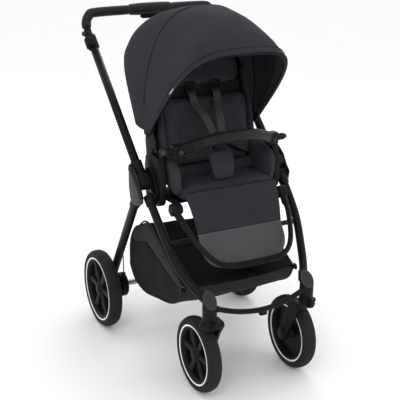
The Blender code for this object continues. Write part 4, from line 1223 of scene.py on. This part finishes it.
def basket():
    """A sagging bag: a cloth trough from front to back, and a mesh side on each hand."""
    outline = [Vector(p) for p in (RIM_FRONT, *BELLY)] + [Vector((0.400, 0.385)), Vector(RIM_BACK)]
    flow = curve_through([(0, p.x, p.y) for p in outline], 8)
    columns = 36
    rows = []
    for i, spot in enumerate(flow):
        share = i / (len(flow) - 1)
        row = []
        for k in range(columns + 1):
            u = 2 * k / columns - 1
            sag = 0.007 * (1 - u * u) * sin(pi * share)
            inward = 0.010 * (1 - u * u) * (1 - sin(pi * share))
            centre = Vector((0, 0.27, 0.33))
            way = (Vector((0, spot.y, spot.z)) - centre).normalized()
            p = at(BASKET_HALF * u, spot.y, spot.z) + way * (sag - 0.0045) - Vector((0, 0, inward))
            row.append(p + wobble(p, 22, 0.0028))
        rows.append(row)
    # The trough's inner face gets the lighter cloth copy: painted light inside the basket.
    trough = grid_sheet("basket_cloth", rows, CLOTH, 0.0022, CLOTH_PAINTED_LIGHT)
    place(trough, "frame", "seat_fabric", "basket")
    for side, sign in SIDES:
        net, band, lining = [], [], []
        slope = (RIM_BACK[1] - RIM_FRONT[1]) / (RIM_BACK[0] - RIM_FRONT[0])
        for i, spot in enumerate(flow):
            share = i / (len(flow) - 1)
            rim_y = min(max(spot.y, RIM_FRONT[0]), 0.400)
            rim_z = RIM_FRONT[1] + slope * (min(rim_y, RIM_BACK[0]) - RIM_FRONT[0])
            if rim_y > RIM_BACK[0]:
                rim_z = RIM_BACK[1] - (rim_y - RIM_BACK[0]) * 0.5
            top = Vector((0, rim_y, rim_z))
            column = []
            for k in range(13):
                t = k / 12
                p = top.lerp(Vector((0, spot.y, spot.z)), t)
                bulge = 0.007 * sin(pi * t) * sin(pi * share)
                q = at(sign * (BASKET_HALF - 0.0025 + bulge), p.y, p.z)
                column.append(q + wobble(q, 20, 0.0022) * sin(pi * t))
            band.append(column[:4])
            net.append(column[3:])
            lining.append([p - Vector((sign * 0.0035, 0, 0)) for p in column[1:]])
        mesh = grid_sheet(f"basket_net_{side}", net, MESH, 0.0016)
        place(mesh, "frame", "seat_fabric")
        # The lining inside each mesh side also gets the lighter cloth copy: painted light.
        place(grid_sheet(f"basket_lining_{side}", lining, CLOTH_PAINTED_LIGHT, 0.0010), "frame", "seat_fabric")
        strip = grid_sheet(f"basket_band_{side}", band, CLOTH, 0.0024)
        place(strip, "frame", "seat_fabric")
        edge = [at(sign * (BASKET_HALF - 0.002), y, z)
                for y, z in (RIM_FRONT, RIM_MID, RIM_BACK, (0.400, 0.385))]
        place(line(f"basket_rim_{side}", curve_through(edge, 6), 0.0028, CLOTH), "frame", "seat_fabric")
        joint_line = [column[0] for column in net]
        place(line(f"basket_seam_{side}", joint_line[2:-2], 0.0014, THREAD), "frame", "seat_fabric")
        clip = at(sign * 0.196, RIM_FRONT[0] + 0.004, RIM_FRONT[1] + 0.002)
        parts = [soft_box("clip", clip - Vector((0.009, 0.007, 0.006)), clip + Vector((0.007, 0.007, 0.006)),
                          0.002, PLASTIC_DARK),
                 soft_box("hook", clip - Vector((0.003, 0.011, 0.010)), clip + Vector((0.006, 0.004, 0.002)),
                          0.0015, PLASTIC_DARK)]
        place(joined(f"basket_clip_{side}", parts), "frame", "dark_plastic")
    front = [at(BASKET_HALF * u, RIM_FRONT[0] + 0.002, RIM_FRONT[1] - 0.010 * (1 - u * u))
             for u in spread(16)]
    place(line("basket_lip", front, 0.0028, CLOTH), "frame", "seat_fabric")


# ---- stage -------------------------------------------------------------------
def stage():
    """A pale floor under a white world, with four soft lamps."""
    bpy.ops.mesh.primitive_plane_add(size=40, location=(0, 0, 0))
    floor = bpy.context.object
    floor.name = "floor"
    paint = Surface("floor_paint", 0.9, Specular_IOR_Level=0.0)
    paint.colour(paint.noise(3, 2), (0.960, 0.960, 0.960), (0.975, 0.975, 0.975))
    floor.data.materials.append(paint.material)
    world = bpy.data.worlds.new("studio")
    bpy.context.scene.world = world
    world.use_nodes = True
    sky = world.node_tree.nodes["Background"]
    sky.inputs["Color"].default_value = (1.0, 1.0, 1.0, 1)
    sky.inputs["Strength"].default_value = 1.0
    for name, spot, size, power, aim in (
            ("key", (-1.9, -2.3, 2.9), 1.0, 15, (0, 0, 0.7)),
            ("fill", (2.6, -1.6, 1.6), 1.6, 8, (0, 0, 0.6)),
            ("top", (0.2, 0.3, 3.2), 1.6, 9, (0, 0, 0.6)),
            ("rim", (1.5, 2.5, 2.2), 1.2, 14, (0, 0, 0.7))):
        lamp = bpy.data.lights.new(name, "AREA")
        lamp.shape = "DISK"
        lamp.size = size
        lamp.energy = power
        obj = bpy.data.objects.new(name, lamp)
        bpy.context.scene.collection.objects.link(obj)
        obj.location = spot
        obj.rotation_mode = "QUATERNION"
        obj.rotation_quaternion = (Vector(aim) - Vector(spot)).to_track_quat("-Z", "Y")
    bpy.context.scene.view_settings.view_transform = "Standard"


CAMERA_SPOT = (-1.311, -2.522, 1.542)
CAMERA_WAY = (0.430, 0.833, -0.348)
CAMERA_ROLL = 0.55


def camera():
    data = bpy.data.cameras.new("camera")
    data.lens = 84.2
    data.sensor_width = 36.0
    obj = bpy.data.objects.new("camera", data)
    bpy.context.scene.collection.objects.link(obj)
    obj.location = CAMERA_SPOT
    obj.rotation_mode = "QUATERNION"
    aim = Vector(CAMERA_WAY).to_track_quat("-Z", "Y")
    obj.rotation_quaternion = aim @ Matrix.Rotation(radians(CAMERA_ROLL), 4, "Z").to_quaternion()
    bpy.context.scene.camera = obj


for spare in ("Cube", "Light", "Camera"):
    if spare in bpy.data.objects:
        bpy.data.objects.remove(bpy.data.objects[spare])
stage()
camera()
wheels()
tubes()
casters()
rear_frame()
push_frame()
handle()
bumper()
footrest()
calf_panel()
back_pad()
side_walls()
back_cover()
seat_base()
harness()
seat_hardware()
canopy()
basket()
